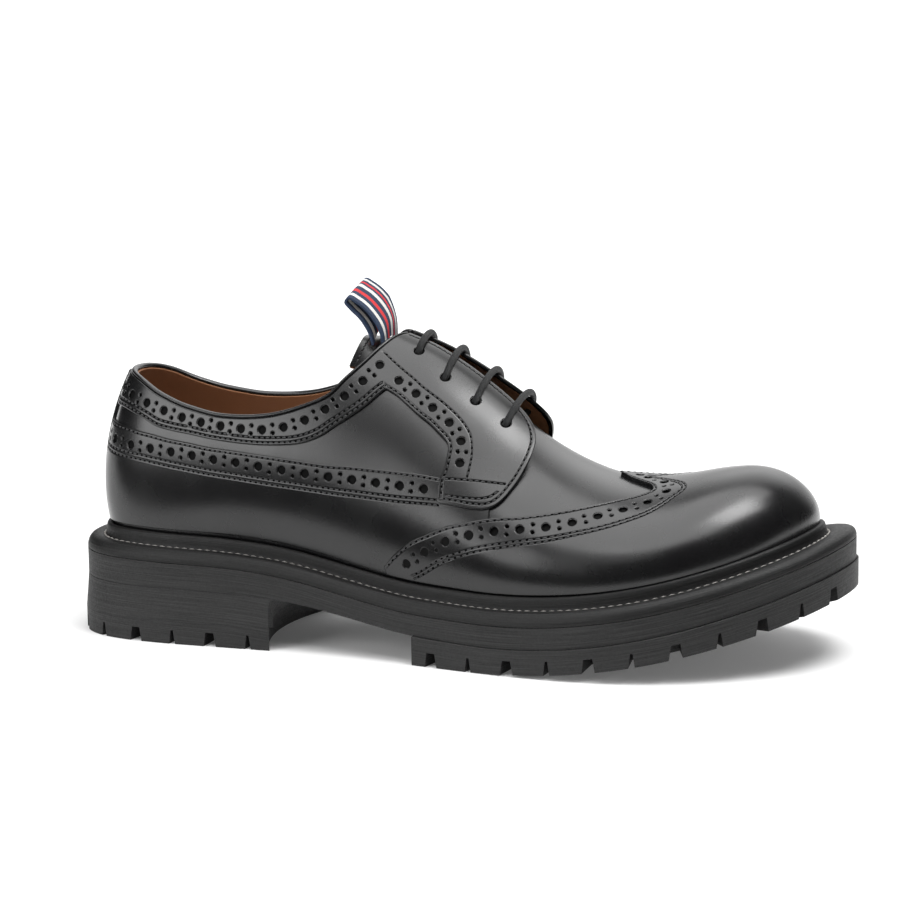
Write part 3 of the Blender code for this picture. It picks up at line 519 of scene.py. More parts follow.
def ridge_x(u):
    """Where the section at u meets the ridge, fanned at heel and toe."""
    middle = (feather(0, u)[..., 0] + feather(1, u)[..., 0]) / 2
    past_heel = middle - HEEL_FAN_X
    x = HEEL_FAN_X + (past_heel + np.hypot(past_heel, HEEL_FAN_SOFT)) / 2
    before_toe = TOE_FAN_X - x
    return TOE_FAN_X - (before_toe + np.hypot(before_toe, TOE_FAN_SOFT)) / 2


def last_side(side, u, rise):
    """Point of the last on one side: rise -1 at the foot, 0 at the lip's top, 1 on the ridge."""
    base = feather(side, u)
    foot_z = welt_z(base[..., 0]) + GAP
    lip_z = welt_z(base[..., 0]) + LIP_RISE
    x = ridge_x(u)
    ridge_y, ridge_z, side_power, crown_power, bulge = last_sections(x)
    angle = np.clip(rise, 0, 1) * pi / 2
    across = np.cos(angle) ** (2 / side_power)
    up = np.sin(angle) ** (2 / crown_power)
    ridge = np.stack([x, ridge_y], -1)
    reach = base - ridge
    width = np.linalg.norm(reach, axis=-1)
    swell = bulge * SWELL_PEAK * up * (1 - up) ** 2
    plan = ridge + reach * (across + swell / width)[..., None]
    z = np.where(rise < 0, lip_z + (lip_z - foot_z) * np.minimum(rise, 0), lip_z + (ridge_z - lip_z) * up)
    return np.concatenate([plan, z[..., None]], -1)


def last(u, v):
    """Point of the last: u 0 at the heel, 1 at the toe, negative on the medial side; v 0 at the
    lip, 1 on the ridge, and past 1 down the other side."""
    u, v = np.broadcast_arrays(np.asarray(u, float), np.asarray(v, float))
    over = v > 1
    loop = np.mod(np.where(over, -u, u), 2)
    v = np.where(over, 2 - v, v)
    lateral = last_side(0, np.clip(loop, 0, 1), v)
    medial = last_side(1, np.clip(2 - loop, 0, 1), v)
    return np.where((loop <= 1)[..., None], lateral, medial)


def tangents(u, v):
    """Change of the last's point with u and with v."""
    along = (last(u + STEP, v) - last(u - STEP, v)) / (2 * STEP)
    up = (last(u, v + STEP) - last(u, v - STEP)) / (2 * STEP)
    return along, up


def unit(vectors):
    """Vectors brought to length 1."""
    return vectors / np.maximum(np.linalg.norm(vectors, axis=-1), TINY)[..., None]


def last_normal(u, v):
    """Outward normal of the last."""
    along, up = tangents(u, np.clip(v, NORMAL_LOW, 2 - NORMAL_LOW))
    normal = np.cross(along, up)
    weak = np.linalg.norm(normal, axis=-1)[..., None] < WEAK
    return np.where(weak, (0.0, 0.0, 1.0), unit(normal))


def surface(u, v, out=0.0):
    """Point at a distance out from the last."""
    normal = last_normal(u, v)
    level = unit(normal * (1, 1, 0))
    normal = np.where((np.asarray(v) < 0)[..., None], level, normal)
    return last(u, v) + normal * np.asarray(out)[..., None]


def along_u(along):
    """Place u at a distance from the back seam; the edge runs a little further round the heel."""
    along = np.asarray(along, float)
    return (along + HEEL_ROUND * np.clip(along / HEEL_RUN, -1, 1)) / HALF_LENGTH[0]


def u_along(u):
    """Distance from the back seam at the place u, on either side."""
    run = np.abs(u) * HALF_LENGTH[0]
    return run - HEEL_ROUND * np.clip(run / (HEEL_RUN + HEEL_ROUND), -1, 1)


def eased(share):
    """Smooth step from 0 to 1."""
    share = np.clip(share, 0, 1)
    return share * share * (3 - 2 * share)


def facing_stand(u, v):
    """How far the facing's front stands off the vamp."""
    return (facing_stand_off(u_along(u))[0] * eased((v - STAND_FROM) / (STAND_TO - STAND_FROM))
            + TAB_LIFT * eased((u_along(u) - TAB_LIFT_FROM) / TAB_LIFT_OVER))


def foxing_stand(u, v):
    """The foxing thins out towards its front."""
    return -FOXING_SINK * eased((u_along(u) - SINK_FROM) / SINK_OVER)


# Lines on the last are arrays of u and v

def through(points, side=1):
    """Smooth line through points given as along and rise, on one side of the shoe."""
    p = np.asarray(points, float)
    step = np.hypot(np.diff(p[:, 0]), RISE_MM * np.diff(p[:, 1]))
    run = np.r_[0, np.cumsum(step)]
    along, rise = curve(np.c_[run, p])(np.arange(0, run[-1] + FINE, FINE))
    return np.c_[side * along_u(along), rise]


def at_run(line, run, places):
    """Points of a line at places given by its running length."""
    return np.stack([np.interp(places, run, column) for column in line.T], 1)


def resample(line, gap, closed=False):
    """Line with its points a given distance apart on the last."""
    if closed:
        line = np.vstack([line, line[:1]])
    run = length_of(last(*line.T))
    even = np.linspace(0, run[-1], max(2, int(round(run[-1] / gap)) + 1))
    made = at_run(line, run, even)
    return made[:-1] if closed else made


def moved(line, shift):
    """Line moved by vectors in millimetres along the surface."""
    along, up = tangents(*line.T)
    wide = (along * along).sum(-1)
    skew = (along * up).sum(-1)
    high = (up * up).sum(-1)
    ahead = (along * shift).sum(-1)
    rise = (up * shift).sum(-1)
    area = np.maximum(wide * high - skew * skew, TINY)
    return line + np.c_[(ahead * high - rise * skew) / area, (rise * wide - ahead * skew) / area]


def leftward(line, closed=False):
    """Unit vectors in the surface to the left of a line's travel."""
    points = last(*line.T)
    if closed:
        ahead = np.roll(points, -1, axis=0) - np.roll(points, 1, axis=0)
    else:
        ahead = np.gradient(points, axis=0)
    normal = last_normal(*line.T)
    return unit(np.cross(normal, unit(ahead)))


def offset(line, distance, closed=False):
    """Line moved to its left."""
    return moved(line, leftward(line, closed) * distance)


def circle(centre, radius, sides):
    """Closed line round a place on the last."""
    turn = np.linspace(0, 2 * pi, sides, endpoint=False)
    spot = np.repeat(np.asarray(centre, float)[None, :], sides, 0)
    along, _ = tangents(*spot.T)
    ahead = unit(along)
    side = np.cross(last_normal(*spot.T), ahead)
    return moved(spot, radius * (np.cos(turn)[:, None] * ahead + np.sin(turn)[:, None] * side))


# Objects

def place(points):
    """Shoe millimetres to metres in the row frame."""
    return (np.asarray(points, float) - MIDDLE) * MM


def linked(name, data):
    """New object in the scene."""
    made = bpy.data.objects.new(name, data)
    bpy.context.scene.collection.objects.link(made)
    return made


def add(name, points, faces, finish, slot, nodes=(), sharp=None, normals=None):
    """Piece of the shoe from points in millimetres, tied to its body, finish and solids."""
    mesh = bpy.data.meshes.new(name)
    mesh.from_pydata([tuple(p) for p in place(points)], [], [tuple(int(i) for i in f) for f in faces])
    mesh.validate()
    mesh.materials.append(finish)
    mesh.shade_smooth()
    if sharp:
        mesh.set_sharp_from_angle(angle=radians(sharp))
    if normals is not None:
        mesh.normals_split_custom_set_from_vertices([tuple(n) for n in normals])
    piece = linked(name, mesh)
    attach(piece, "root")
    if nodes:
        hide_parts(*nodes)
    return piece


def grid_faces(rows, columns, closed_rows=False, closed_columns=False):
    """Quads over a grid of points stored row after row."""
    faces = []
    for i in range(rows if closed_rows else rows - 1):
        for j in range(columns if closed_columns else columns - 1):
            a = i * columns + j
            b = i * columns + (j + 1) % columns
            c = ((i + 1) % rows) * columns + (j + 1) % columns
            d = ((i + 1) % rows) * columns + j
            faces.append((a, b, c, d))
    return faces


def weld(points, faces):
    """Points merged where they meet, and the faces over them."""
    key = {}
    index = np.empty(len(points), int)
    kept = []
    for i, p in enumerate(np.round(points / WELD).astype(int)):
        index[i] = key.setdefault(tuple(p), len(kept))
        if index[i] == len(kept):
            kept.append(i)
    made = []
    for face in faces:
        ring = [index[i] for i in face]
        ring = [a for k, a in enumerate(ring) if a != ring[k - 1]]
        if len(set(ring)) == len(ring) and len(ring) > 2:
            made.append(ring)
    return np.asarray(kept), made


def thick(outer, inner, faces):
    """Closed sheet between two layers of points with the same faces."""
    count = len(outer)
    seen = {}
    for face in faces:
        for k, a in enumerate(face):
            seen[(face[k - 1], a)] = True
    rim = [(a, b) for a, b in seen if (b, a) not in seen]
    made = list(faces) + [[count + i for i in reversed(face)] for face in faces]
    made += [(b, a, count + a, count + b) for a, b in rim]
    return np.vstack([outer, inner]), made


def tube(path, radius, sides, across=None, flat=1.0):
    """Points and faces of a closed-ended tube along a path; across orients an oval one."""
    ahead = unit(np.gradient(path, axis=0))
    if across is None:
        across = np.zeros_like(path)
        guide = np.array((0.0, 0.0, 1.0)) if abs(ahead[0, 2]) < STEEP else np.array((1.0, 0.0, 0.0))
        for i in range(len(path)):
            guide = guide - ahead[i] * (guide @ ahead[i])
            guide = guide / np.linalg.norm(guide)
            across[i] = guide
    across = unit(across - ahead * (across * ahead).sum(-1)[:, None])
    side = np.cross(ahead, across)
    turn = np.linspace(0, 2 * pi, sides, endpoint=False)
    radius = np.broadcast_to(radius, len(path))[:, None, None]
    rings = path[:, None] + radius * (np.cos(turn)[None, :, None] * across[:, None]
                                      + flat * np.sin(turn)[None, :, None] * side[:, None])
    points = np.vstack([rings.reshape(-1, 3), path[:1], path[-1:]])
    faces = grid_faces(len(path), sides, closed_columns=True)
    end = len(path) * sides
    for j in range(sides):
        k = (j + 1) % sides
        faces.append((end, k, j))
        faces.append((end + 1, end - sides + j, end - sides + k))
    return points, faces


def join(parts):
    """Several sets of points and faces as one."""
    points = []
    faces = []
    count = 0
    for part_points, part_faces in parts:
        points.append(part_points)
        faces += [[count + i for i in face] for face in part_faces]
        count += len(part_points)
    return np.vstack(points), faces


# Materials

def node_material(name, colour, roughness, coat=0.0):
    """Principled material and its node tree."""
    made = bpy.data.materials.new(name)
    made.use_nodes = True
    tree = made.node_tree
    shader = tree.nodes["Principled BSDF"]
    shader.inputs["Base Color"].default_value = (*colour, 1.0)
    shader.inputs["Roughness"].default_value = roughness
    shader.inputs["Coat Weight"].default_value = coat
    return made, tree, shader


def node(tree, kind, **inputs):
    """Node with some inputs set by name."""
    made = tree.nodes.new(kind)
    for name, value in inputs.items():
        made.inputs[name].default_value = value
    return made


def noise(tree, vector, scale, detail=NOISE_DETAIL):
    """Noise texture on a coordinate."""
    made = node(tree, "ShaderNodeTexNoise", Scale=scale, Detail=detail)
    tree.links.new(vector, made.inputs["Vector"])
    return made.outputs["Fac"]


def bump(tree, height, strength, depth, shader=None, before=None):
    """Bump of a depth in millimetres, chained after another."""
    made = node(tree, "ShaderNodeBump", Strength=strength, Distance=depth * MM)
    tree.links.new(height, made.inputs["Height"])
    if before:
        tree.links.new(before, made.inputs["Normal"])
    if shader:
        tree.links.new(made.outputs["Normal"], shader.inputs["Normal"])
        tree.links.new(made.outputs["Normal"], shader.inputs["Coat Normal"])
    return made.outputs["Normal"]


def ranged(tree, value, low, high, span=NOISE_SPAN):
    """Value within a span spread between low and high."""
    made = node(tree, "ShaderNodeMapRange")
    for socket, number in enumerate((*span, low, high), 1):
        made.inputs[socket].default_value = number
    tree.links.new(value, made.inputs[0])
    return made.outputs[0]


def leather_material(name, colour, rough, coat, grain):
    """Smooth calf: fine grain, slow change of gloss and a thin coat of polish."""
    made, tree, shader = node_material(name, colour, rough[0], coat)
    spot = node(tree, "ShaderNodeTexCoord").outputs["Object"]
    cells = node(tree, "ShaderNodeTexVoronoi", Scale=GRAIN_SCALE)
    tree.links.new(spot, cells.inputs["Vector"])
    pores = noise(tree, spot, PORE_SCALE)
    tree.links.new(ranged(tree, noise(tree, spot, GLOSS_SCALE), *rough), shader.inputs["Roughness"])
    shader.inputs["Coat Roughness"].default_value = COAT_ROUGH
    first = bump(tree, cells.outputs["Distance"], grain, GRAIN_DEPTH)
    bump(tree, pores, grain, PORE_DEPTH, shader, first)
    return made


def rubber_material(name, greys, rough, streak, gloss):
    """Moulded rubber, brushed along the edge: the map's second axis is the height on the edge."""
    made, tree, shader = node_material(name, (greys[0],) * 3, rough[0])
    coords = node(tree, "ShaderNodeTexCoord")
    stretch = node(tree, "ShaderNodeMapping", Scale=STREAK_SCALE)
    tree.links.new(coords.outputs["UV"], stretch.inputs["Vector"])
    lines = noise(tree, stretch.outputs["Vector"], 1.0, STREAK_DETAIL)
    speck = noise(tree, coords.outputs["Object"], SPECK_SCALE)
    tree.links.new(ranged(tree, lines, *greys), shader.inputs["Base Color"])
    tree.links.new(ranged(tree, speck, *rough), shader.inputs["Roughness"])
    first = bump(tree, lines, streak, STREAK_DEPTH)
    bump(tree, speck, SPECK_BUMP, SPECK_DEPTH, shader, first)
    shader.inputs["Specular IOR Level"].default_value = gloss
    return made


def cord_material(name, colour):
    """Waxed round cord: a fine plait along its length."""
    made, tree, shader = node_material(name, colour, CORD_ROUGH)
    coords = node(tree, "ShaderNodeTexCoord")
    plait = node(tree, "ShaderNodeTexWave", Scale=1.0, Distortion=0.0)
    turned = node(tree, "ShaderNodeMapping", Rotation=PLAIT_TURN, Scale=PLAIT_SCALE)
    tree.links.new(coords.outputs["UV"], turned.inputs["Vector"])
    tree.links.new(turned.outputs["Vector"], plait.inputs["Vector"])
    bump(tree, plait.outputs["Fac"], 1.0, PLAIT_DEPTH, shader)
    return made


def tape_material(name):
    """Navy woven tape with fine lines of off-white and red, evenly spaced."""
    made, tree, shader = node_material(name, NAVY, TAPE_ROUGH)
    coords = node(tree, "ShaderNodeTexCoord")
    parts = node(tree, "ShaderNodeSeparateXYZ")
    tree.links.new(coords.outputs["UV"], parts.inputs[0])
    ramp = tree.nodes.new("ShaderNodeValToRGB")
    ramp.color_ramp.interpolation = "CONSTANT"
    stops = ramp.color_ramp.elements
    stops[0].color = (*NAVY, 1.0)
    stops.remove(stops[1])
    for spot, colour in TAPE_LINES:
        stops.new(spot - TAPE_LINE / 2).color = (*colour, 1.0)
        stops.new(spot + TAPE_LINE / 2).color = (*NAVY, 1.0)
    tree.links.new(parts.outputs[0], ramp.inputs[0])
    tree.links.new(ramp.outputs[0], shader.inputs["Base Color"])
    weave = node(tree, "ShaderNodeTexWave", Scale=1.0, Distortion=WEAVE_BEND)
    weave.bands_direction = "Y"
    stretch = node(tree, "ShaderNodeMapping", Scale=WEAVE_SCALE)
    tree.links.new(coords.outputs["UV"], stretch.inputs["Vector"])
    tree.links.new(stretch.outputs["Vector"], weave.inputs["Vector"])
    bump(tree, weave.outputs["Fac"], WEAVE_BUMP, WEAVE_DEPTH, shader)
    return made


black_leather = leather_material("calf", BLACK, rough=(0.22, 0.30), coat=0.15, grain=0.12)
tan_leather = leather_material("lining", TAN, rough=(0.5, 0.65), coat=0.0, grain=0.2)
welt_rubber = rubber_material("welt", greys=(0.003, 0.012), rough=(0.45, 0.62), streak=0.5, gloss=0.3)
sole_rubber = rubber_material("sole", greys=(0.003, 0.023), rough=(0.50, 0.68), streak=0.7, gloss=0.38)
# Painted shade: near-black matte discs in the needle holes between stitches.
shade, _, shade_shader = node_material("shade", (0.001, 0.001, 0.001), roughness=1.0)
shade_shader.inputs["Specular IOR Level"].default_value = 0.0
# Painted shade: the backing leather seen through punched holes and eyelets, darker and less glossy than the
# calf.
hole_floor_shade, _, hole_shade_shader = node_material("hole_floor_shade", (0.0025, 0.0025, 0.0025), roughness=0.8)
hole_shade_shader.inputs["Specular IOR Level"].default_value = 0.15
thread = node_material("thread", (0.03, 0.03, 0.031), roughness=0.45)[0]
welt_thread = node_material("welt_thread", (0.24, 0.23, 0.215), roughness=0.7)[0]
cord = cord_material("cord", (0.018, 0.019, 0.020))
tape = tape_material("tape")


# Punched and stitched panels

def flat_chart(line):
    """Plane in which a panel on the quarters is cut."""
    return np.c_[line[:, 0] * HALF_LENGTH[0], line[:, 1] * RISE_MM]


def fan_chart(line):
    """Plane in which a panel over the toe is cut: sections laid out flat from the ridge."""
    u = np.clip(line[:, 0], 0, 1)
    share = np.linspace(0, 1, ARC_POINTS)[None, :]
    v = 1 + (line[:, 1] - 1)[:, None] * share
    points = last(u[:, None], v)
    arc = np.linalg.norm(np.diff(points, axis=1), axis=-1).sum(1)
    lateral = line[:, 1] <= 1
    base = np.where(lateral[:, None], feather(0, u), feather(1, u))
    return points[:, 0, :2] + unit(base - points[:, 0, :2]) * arc[:, None]


def tree_of(points):
    """Search tree over points."""
    made = KDTree(len(points))
    for i, p in enumerate(points):
        made.insert(p, i)
    made.balance()
    return made


def clear_of(line, others, distance):
    """Which points of a line keep a distance from other points on the last."""
    found = tree_of(others)
    return np.array([found.find(p)[2] >= distance for p in last(*line.T)], bool)


def out_of_holes(line, holes):
    """Points of a line that don't lie in a punched hole."""
    spots = last(*line.T)
    keep = np.ones(len(line), bool)
    for centre, radius in holes:
        keep &= np.linalg.norm(spots - last(*centre), axis=1) > radius + HOLE_EDGE
    return line[keep]


def triangles(flat, ties, edge, tiny):
    """Triangles over plane points inside a closed edge, with some lines tied."""
    result = delaunay_2d_cdt([Vector(p) for p in flat], ties, [], 0, tiny, True)
    source = np.array([ids[0] if ids else -1 for ids in result[3]])
    found = source[np.array(result[2])]
    return found[inside(flat[found].mean(1), edge) & (found.min(1) >= 0)]


def panel_mesh(edge, holes, rows, fill, chart, stand, top, base):
    """Points, faces and normals of a leather panel with a rounded edge, punched holes and sunk rows."""
    edge = resample(edge, EDGE_GAP, closed=True)
    plan = chart(edge)
    turn = plan[:, 0] * np.roll(plan[:, 1], -1) - plan[:, 1] * np.roll(plan[:, 0], -1)
    if turn.sum() < 0:
        edge = edge[::-1]
    layers = [(edge, -EDGE_DROP)]
    edge_points = last(*edge.T)
    for inset, height in EDGE_STEPS:
        ring = offset(edge, inset, closed=True)
        layers.append((ring[clear_of(ring, edge_points, EDGE_KEEP * inset)], height))
    hole_rims = []
    for centre, radius in holes:
        sides = HOLE_SIDES if radius > SMALL_HOLE else PINHOLE_SIDES
        rim = circle(centre, radius, sides)
        hole_rims.append(rim)
        for grow, height in HOLE_STEPS:
            layers.append((circle(centre, radius + grow, sides), height))
    border = np.vstack([edge_points] + [last(*rim.T) for rim in hole_rims])
    for row in rows:
        rail = resample(row, EDGE_GAP)
        for side, share in ROW_STEPS:
            line = offset(rail, side) if side else rail
            line = out_of_holes(line[clear_of(line, border, ROW_CLEAR)], holes)
            layers.append((line, -share * STITCH_DEPTH))
    known = np.vstack([last(*line.T) for line, _ in layers] + [border])
    layers.append((out_of_holes(fill[clear_of(fill, known, FILL_CLEAR)], holes), 0.0))
    lines = [edge] + hole_rims + [line for line, _ in layers[1:]]
    heights = [np.full(len(edge), -EDGE_DROP)] + [np.full(len(rim), -HOLE_DROP) for rim in hole_rims]
    heights += [np.full(len(line), height) for line, height in layers[1:]]
    spots = np.vstack(lines)
    height = np.concatenate(heights)
    loops = []
    start = 0
    for line in [edge] + hole_rims:
        loops.append(np.arange(start, start + len(line)))
        start += len(line)
    ties = [(int(a), int(b)) for loop in loops for a, b in zip(loop, np.roll(loop, -1))]
    flat = chart(spots)
    found = triangles(flat, ties, chart(edge), PANEL_TINY)
    middle = flat[found].mean(1)
    in_hole = np.zeros(len(found), bool)
    for rim in hole_rims:
        outline_plan = chart(rim)
        near = np.all((middle > outline_plan.min(0)) & (middle < outline_plan.max(0)), axis=1)
        in_hole[near] |= inside(middle[near], outline_plan)
    faces = [list(face) for face in found[~in_hole]]
    out = stand(*spots.T)
    points = surface(*spots.T, out + top + height)
    count = len(points)
    lower = np.concatenate(loops)
    points = np.vstack([points, surface(*spots[lower].T, out[lower] + base)])
    for loop in loops:
        for a, b in zip(loop, np.roll(loop, -1)):
            faces.append((a, count + a, count + b, b))
    smooth = points_normals(points, faces)
    level = np.zeros(len(points), bool)
    level[:count] = height == 0
    smooth[level] = stood_normal(spots[level[:count]], stand)
    return points, faces, smooth


def stood_normal(spots, stand):
    """Outward normal of the last with a panel's stand-off on it."""
    u, v = spots.T
    step = 2 * STEP
    along = surface(u + step, v, stand(u + step, v)) - surface(u - step, v, stand(u - step, v))
    up = surface(u, v + step, stand(u, v + step)) - surface(u, v - step, stand(u, v - step))
    return unit(np.cross(along, up))


def points_normals(points, faces):
    """Normals at points, from the faces round them."""
    normals = np.zeros_like(points)
    for face in faces:
        a, b, c = points[face[0]], points[face[1]], points[face[2]]
        lean = np.cross(b - a, c - a)
        for i in face:
            normals[i] += lean
    return unit(normals)


def no_stand(u, v):
    """A panel that lies on the last."""
    return np.zeros(np.broadcast(u, v).shape)


def filled(edge, gap):
    """Fill places inside the box of a closed line."""
    low, high = edge.min(0), edge.max(0)
    u = np.arange(low[0], high[0], gap / HALF_LENGTH[0])
    return np.vstack([np.c_[u, np.full(len(u), v)] for v in np.arange(low[1], high[1], gap / RISE_MM)])


def inside(points, edge):
    """Which plane points lie inside a closed line of plane points."""
    x, y = points.T
    result = np.zeros(len(points), bool)
    for (x0, y0), (x1, y1) in zip(edge, np.roll(edge, -1, axis=0)):
        if y0 == y1:
            continue
        crosses = (y0 > y) != (y1 > y)
        result ^= crosses & (x < x0 + (y - y0) * (x1 - x0) / (y1 - y0))
    return result


def hole_line(line, first_mark, last_mark, count):
    """Big holes along a line with pairs of small ones between; count pitches lie between two marks."""
    run = length_of(last(*line.T))
    first, end = [run[np.argmin(np.abs(line[:, 0] - along_u(mark)))] for mark in (first_mark, last_mark)]
    pitch = (end - first) / count
    places = np.arange(first % pitch, run[-1] + HOLE_SLACK, pitch)
    holes = [(spot, BIG_HOLE) for spot in at_run(line, run, places)]
    for spread in (PAIR_SPREAD, -PAIR_SPREAD):
        pairs = at_run(offset(line, spread), run, places[:-1] + pitch / 2)
        holes += [(spot, SMALL_HOLE) for spot in pairs]
    return holes


stitch_parts = []
needle_shade_parts = []
hole_shade_parts = []


def stitch_row(line, top, pitch=STITCH_PITCH, stand=no_stand):
    """Stitches along a line, each a small arched capsule, with dark discs of painted shade in the needle
    holes between them.
    """
    run = length_of(last(*line.T))
    places = np.arange(pitch / 2, run[-1], pitch)
    middle, needle, before, after = [at_run(line, run, places + shift)
                                     for shift in (0.0, pitch / 2, -pitch / 4, pitch / 4)]
    ahead = unit(last(*after.T) - last(*before.T))
    normal = last_normal(*middle.T)
    centre = surface(*middle.T, top - STITCH_SUNK + stand(*middle.T))
    stitch_parts.append(capsules(centre, ahead, normal, pitch * STITCH_SHARE, STITCH_RADIUS))
    # Dark disc of painted shade in each needle hole.
    pit = surface(*needle.T, top - STITCH_SUNK + stand(*needle.T))
    needle_shade_parts.append(discs(pit, last_normal(*needle.T), np.full(len(pit), PIT_RADIUS)))


def discs(centre, normal, radius, sides=10):
    """Points and faces of many small discs."""
    across = unit(np.cross(normal, ASKEW))
    side = np.cross(normal, across)
    turn = np.linspace(0, 2 * pi, sides, endpoint=False)[None, :, None]
    ring = np.cos(turn) * across[:, None] + np.sin(turn) * side[:, None]
    points = centre[:, None] + radius[:, None, None] * ring
    faces = [tuple(range(k * sides, (k + 1) * sides)) for k in range(len(centre))]
    return points.reshape(-1, 3), faces


def capsules(centre, ahead, normal, length, radius, sides=6):
    """Points and faces of many short arched capsules."""
    side = np.cross(normal, ahead)
    turn = np.linspace(0, 2 * pi, sides, endpoint=False)
    points = []
    for along, wide, high in CAPSULE:
        spot = centre + ahead * (along * length) + normal * (high * radius)
        points.append(spot[:, None] + radius * wide * (np.cos(turn)[None, :, None] * side[:, None]
                                                       + np.sin(turn)[None, :, None] * normal[:, None]))
    points = np.stack(points, 1)
    count = len(CAPSULE) * sides
    pattern = [face[::-1] for face in grid_faces(len(CAPSULE), sides, closed_columns=True)]
    pattern += [tuple(range(sides)), tuple(range(count - 1, count - sides - 1, -1))]
    faces = [tuple(i + k * count for i in face) for k in range(len(centre)) for face in pattern]
    return points.reshape(-1, 3), faces


def close_holes(holes, stand, out):
    """Dark discs that close the punched holes: the backing leather, darkened with painted shade."""
    if holes:
        u, v = np.array([centre for centre, _ in holes]).T
        radius = np.array([radius for _, radius in holes])
        centre = surface(u, v, stand(u, v) + out)
        hole_shade_parts.append(discs(centre, last_normal(u, v), FLOOR_SPREAD * radius, FLOOR_SIDES))


def add_panel(name, edge, holes, rows, slot, nodes, chart=flat_chart, stand=no_stand, top=PANEL_TOP,
              fill=None, base=0.0, floor_stand=None):
    """One leather panel as a piece of the shoe."""
    if fill is None:
        fill = filled(edge, FILL_GAP)
    fill = fill[inside(chart(fill), chart(edge))]
    points, faces, normals = panel_mesh(edge, holes, rows, fill, chart, stand, top, base)
    # Dark discs of painted shade over the floors of the punched holes.
    close_holes([hole for hole in holes if hole[1] < EYELET_DIAMETER / 2], floor_stand or stand, FLOOR_OUT)
    return add(name, points, faces, black_leather, slot, nodes, normals=normals)


def both_sides(points):
    """Line from the medial end, round the heel, to the lateral end."""
    return np.vstack([through(points, -1)[::-1][:-1], through(points, 1)])


def facing_front(side):
    """Front edge of a facing; the medial one is a little shorter."""
    if side > 0:
        return through(FACING_FRONT)
    return through([(along - MEDIAL_SHORT * eased((along - SHORT_FROM) / SHORT_OVER), rise)
                    for along, rise in FACING_FRONT], side)


def make_collar_and_facings():
    """Collar band and both facings, cut in one with their seams and holes."""
    low_line = through(BAND_LOW)
    back_line = through(BAND_BACK)
    low_edge = offset(low_line, -EDGE_OUT)
    low_edge = low_edge[clear_of(low_edge, last(*back_line.T), EDGE_OUT)]
    back_edge = offset(back_line, -EDGE_OUT)
    back_edge = back_edge[clear_of(back_edge, last(*low_line.T), EDGE_OUT)]
    collar = offset(through(COLLAR), -COLLAR_INSET)
    rear = np.vstack([low_edge, back_edge, through(TAB_BACK)[::-1]])
    lateral, medial = [np.vstack([rear * (side, 1), facing_front(side)[::-1], collar[::-1] * (side, 1)])
                       for side in (1, -1)]
    edge = np.vstack([lateral[:-1], medial[::-1][1:-1]])
    holes = hole_line(both_sides(BAND_HOLES), *BAND_MARKS)
    low = both_sides(BAND_LOW)
    rows = [low, offset(low, ROW_SPACING)]
    back_holes = hole_line(through(BACK_HOLES), *BACK_MARKS)
    for side in (1, -1):
        back = through(BAND_BACK, side)
        seam = through(FACING_SEAM, side)
        front = facing_front(side)
        rows += [back, seam, offset(front, -FRONT_ROW_INSET * side)]
        rows += [through(row, side) for row in TAB_ROWS]
        holes += [((side * u, v), radius) for (u, v), radius in back_holes]
        for along, rise in EYELETS:
            holes.append(((side * float(along_u(along)), rise), EYELET_DIAMETER / 2))
    add_panel("collar_and_facings", edge, holes, rows, "black_leather",
              ("collar_band", "facing_lateral", "facing_medial"), stand=facing_stand)
    for row in rows:
        stitch_row(row, PANEL_TOP, stand=facing_stand)
    for side, name, radius in ((1, "lateral", LINING_HOLE), (-1, "medial", LACE_DIAMETER / 2)):
        line = np.vstack([through(FACING_SEAM, side), facing_front(side)[::-1]])
        eyelets = [((side * float(along_u(along)), rise), radius) for along, rise in EYELETS]
        # Dark discs of painted shade in the eyelets, between the facing and its tan lining.
        close_holes(eyelets, facing_stand, -EYELET_SUNK)
        fill = filled(line, FILL_GAP)
        fill = fill[inside(flat_chart(fill), flat_chart(line))]
        edge = offset(line, LINING_INSET * side, closed=True)
        points, faces, normals = panel_mesh(edge, eyelets, [], fill, flat_chart, facing_stand,
                                            -CLEAR, -LINING)
        add(f"facing_lining_{name}", points, faces, tan_leather, "tan_lining", normals=normals)


def make_foxing():
    """Lower quarter and counter under the punched strip."""
    top = both_sides(FOXING_TOP)
    front = through(FOXING_FRONT)
    low = np.c_[np.linspace(front[-1, 0], 0, LOW_POINTS), np.full(LOW_POINTS, LOW_RISE)]
    lateral = np.vstack([front, low])
    edge = np.vstack([offset(top, EDGE_OUT), lateral, (lateral * (-1, 1))[::-1][1:-1]])
    holes = hole_line(both_sides(STRIP_HOLES), *STRIP_MARKS)
    low_row = both_sides(STRIP_LOW)
    rows = [top, offset(low_row, ROW_SPACING), low_row]
    add_panel("foxing_leather", edge, holes, rows, "black_leather", ("foxing",), stand=foxing_stand,
              top=FOXING_TOP_OUT)
    for row in rows:
        stitch_row(row, FOXING_TOP_OUT, stand=foxing_stand)


def mirrored(table):
    """Lateral line of the wing carried over the ridge, lower on the medial side."""
    return [(along, 1 + (1 - rise) * (1 + MEDIAL_DROP * rise)) for along, rise in table]


def wing_floor(u, v):
    """Stand-off of what shows through the wing's holes: the foxing at its back, else the upper."""
    return np.where(u < along_u(FOXING_END), FOXING_TOP_OUT - FLOOR_OUT + CLEAR, 0.0)


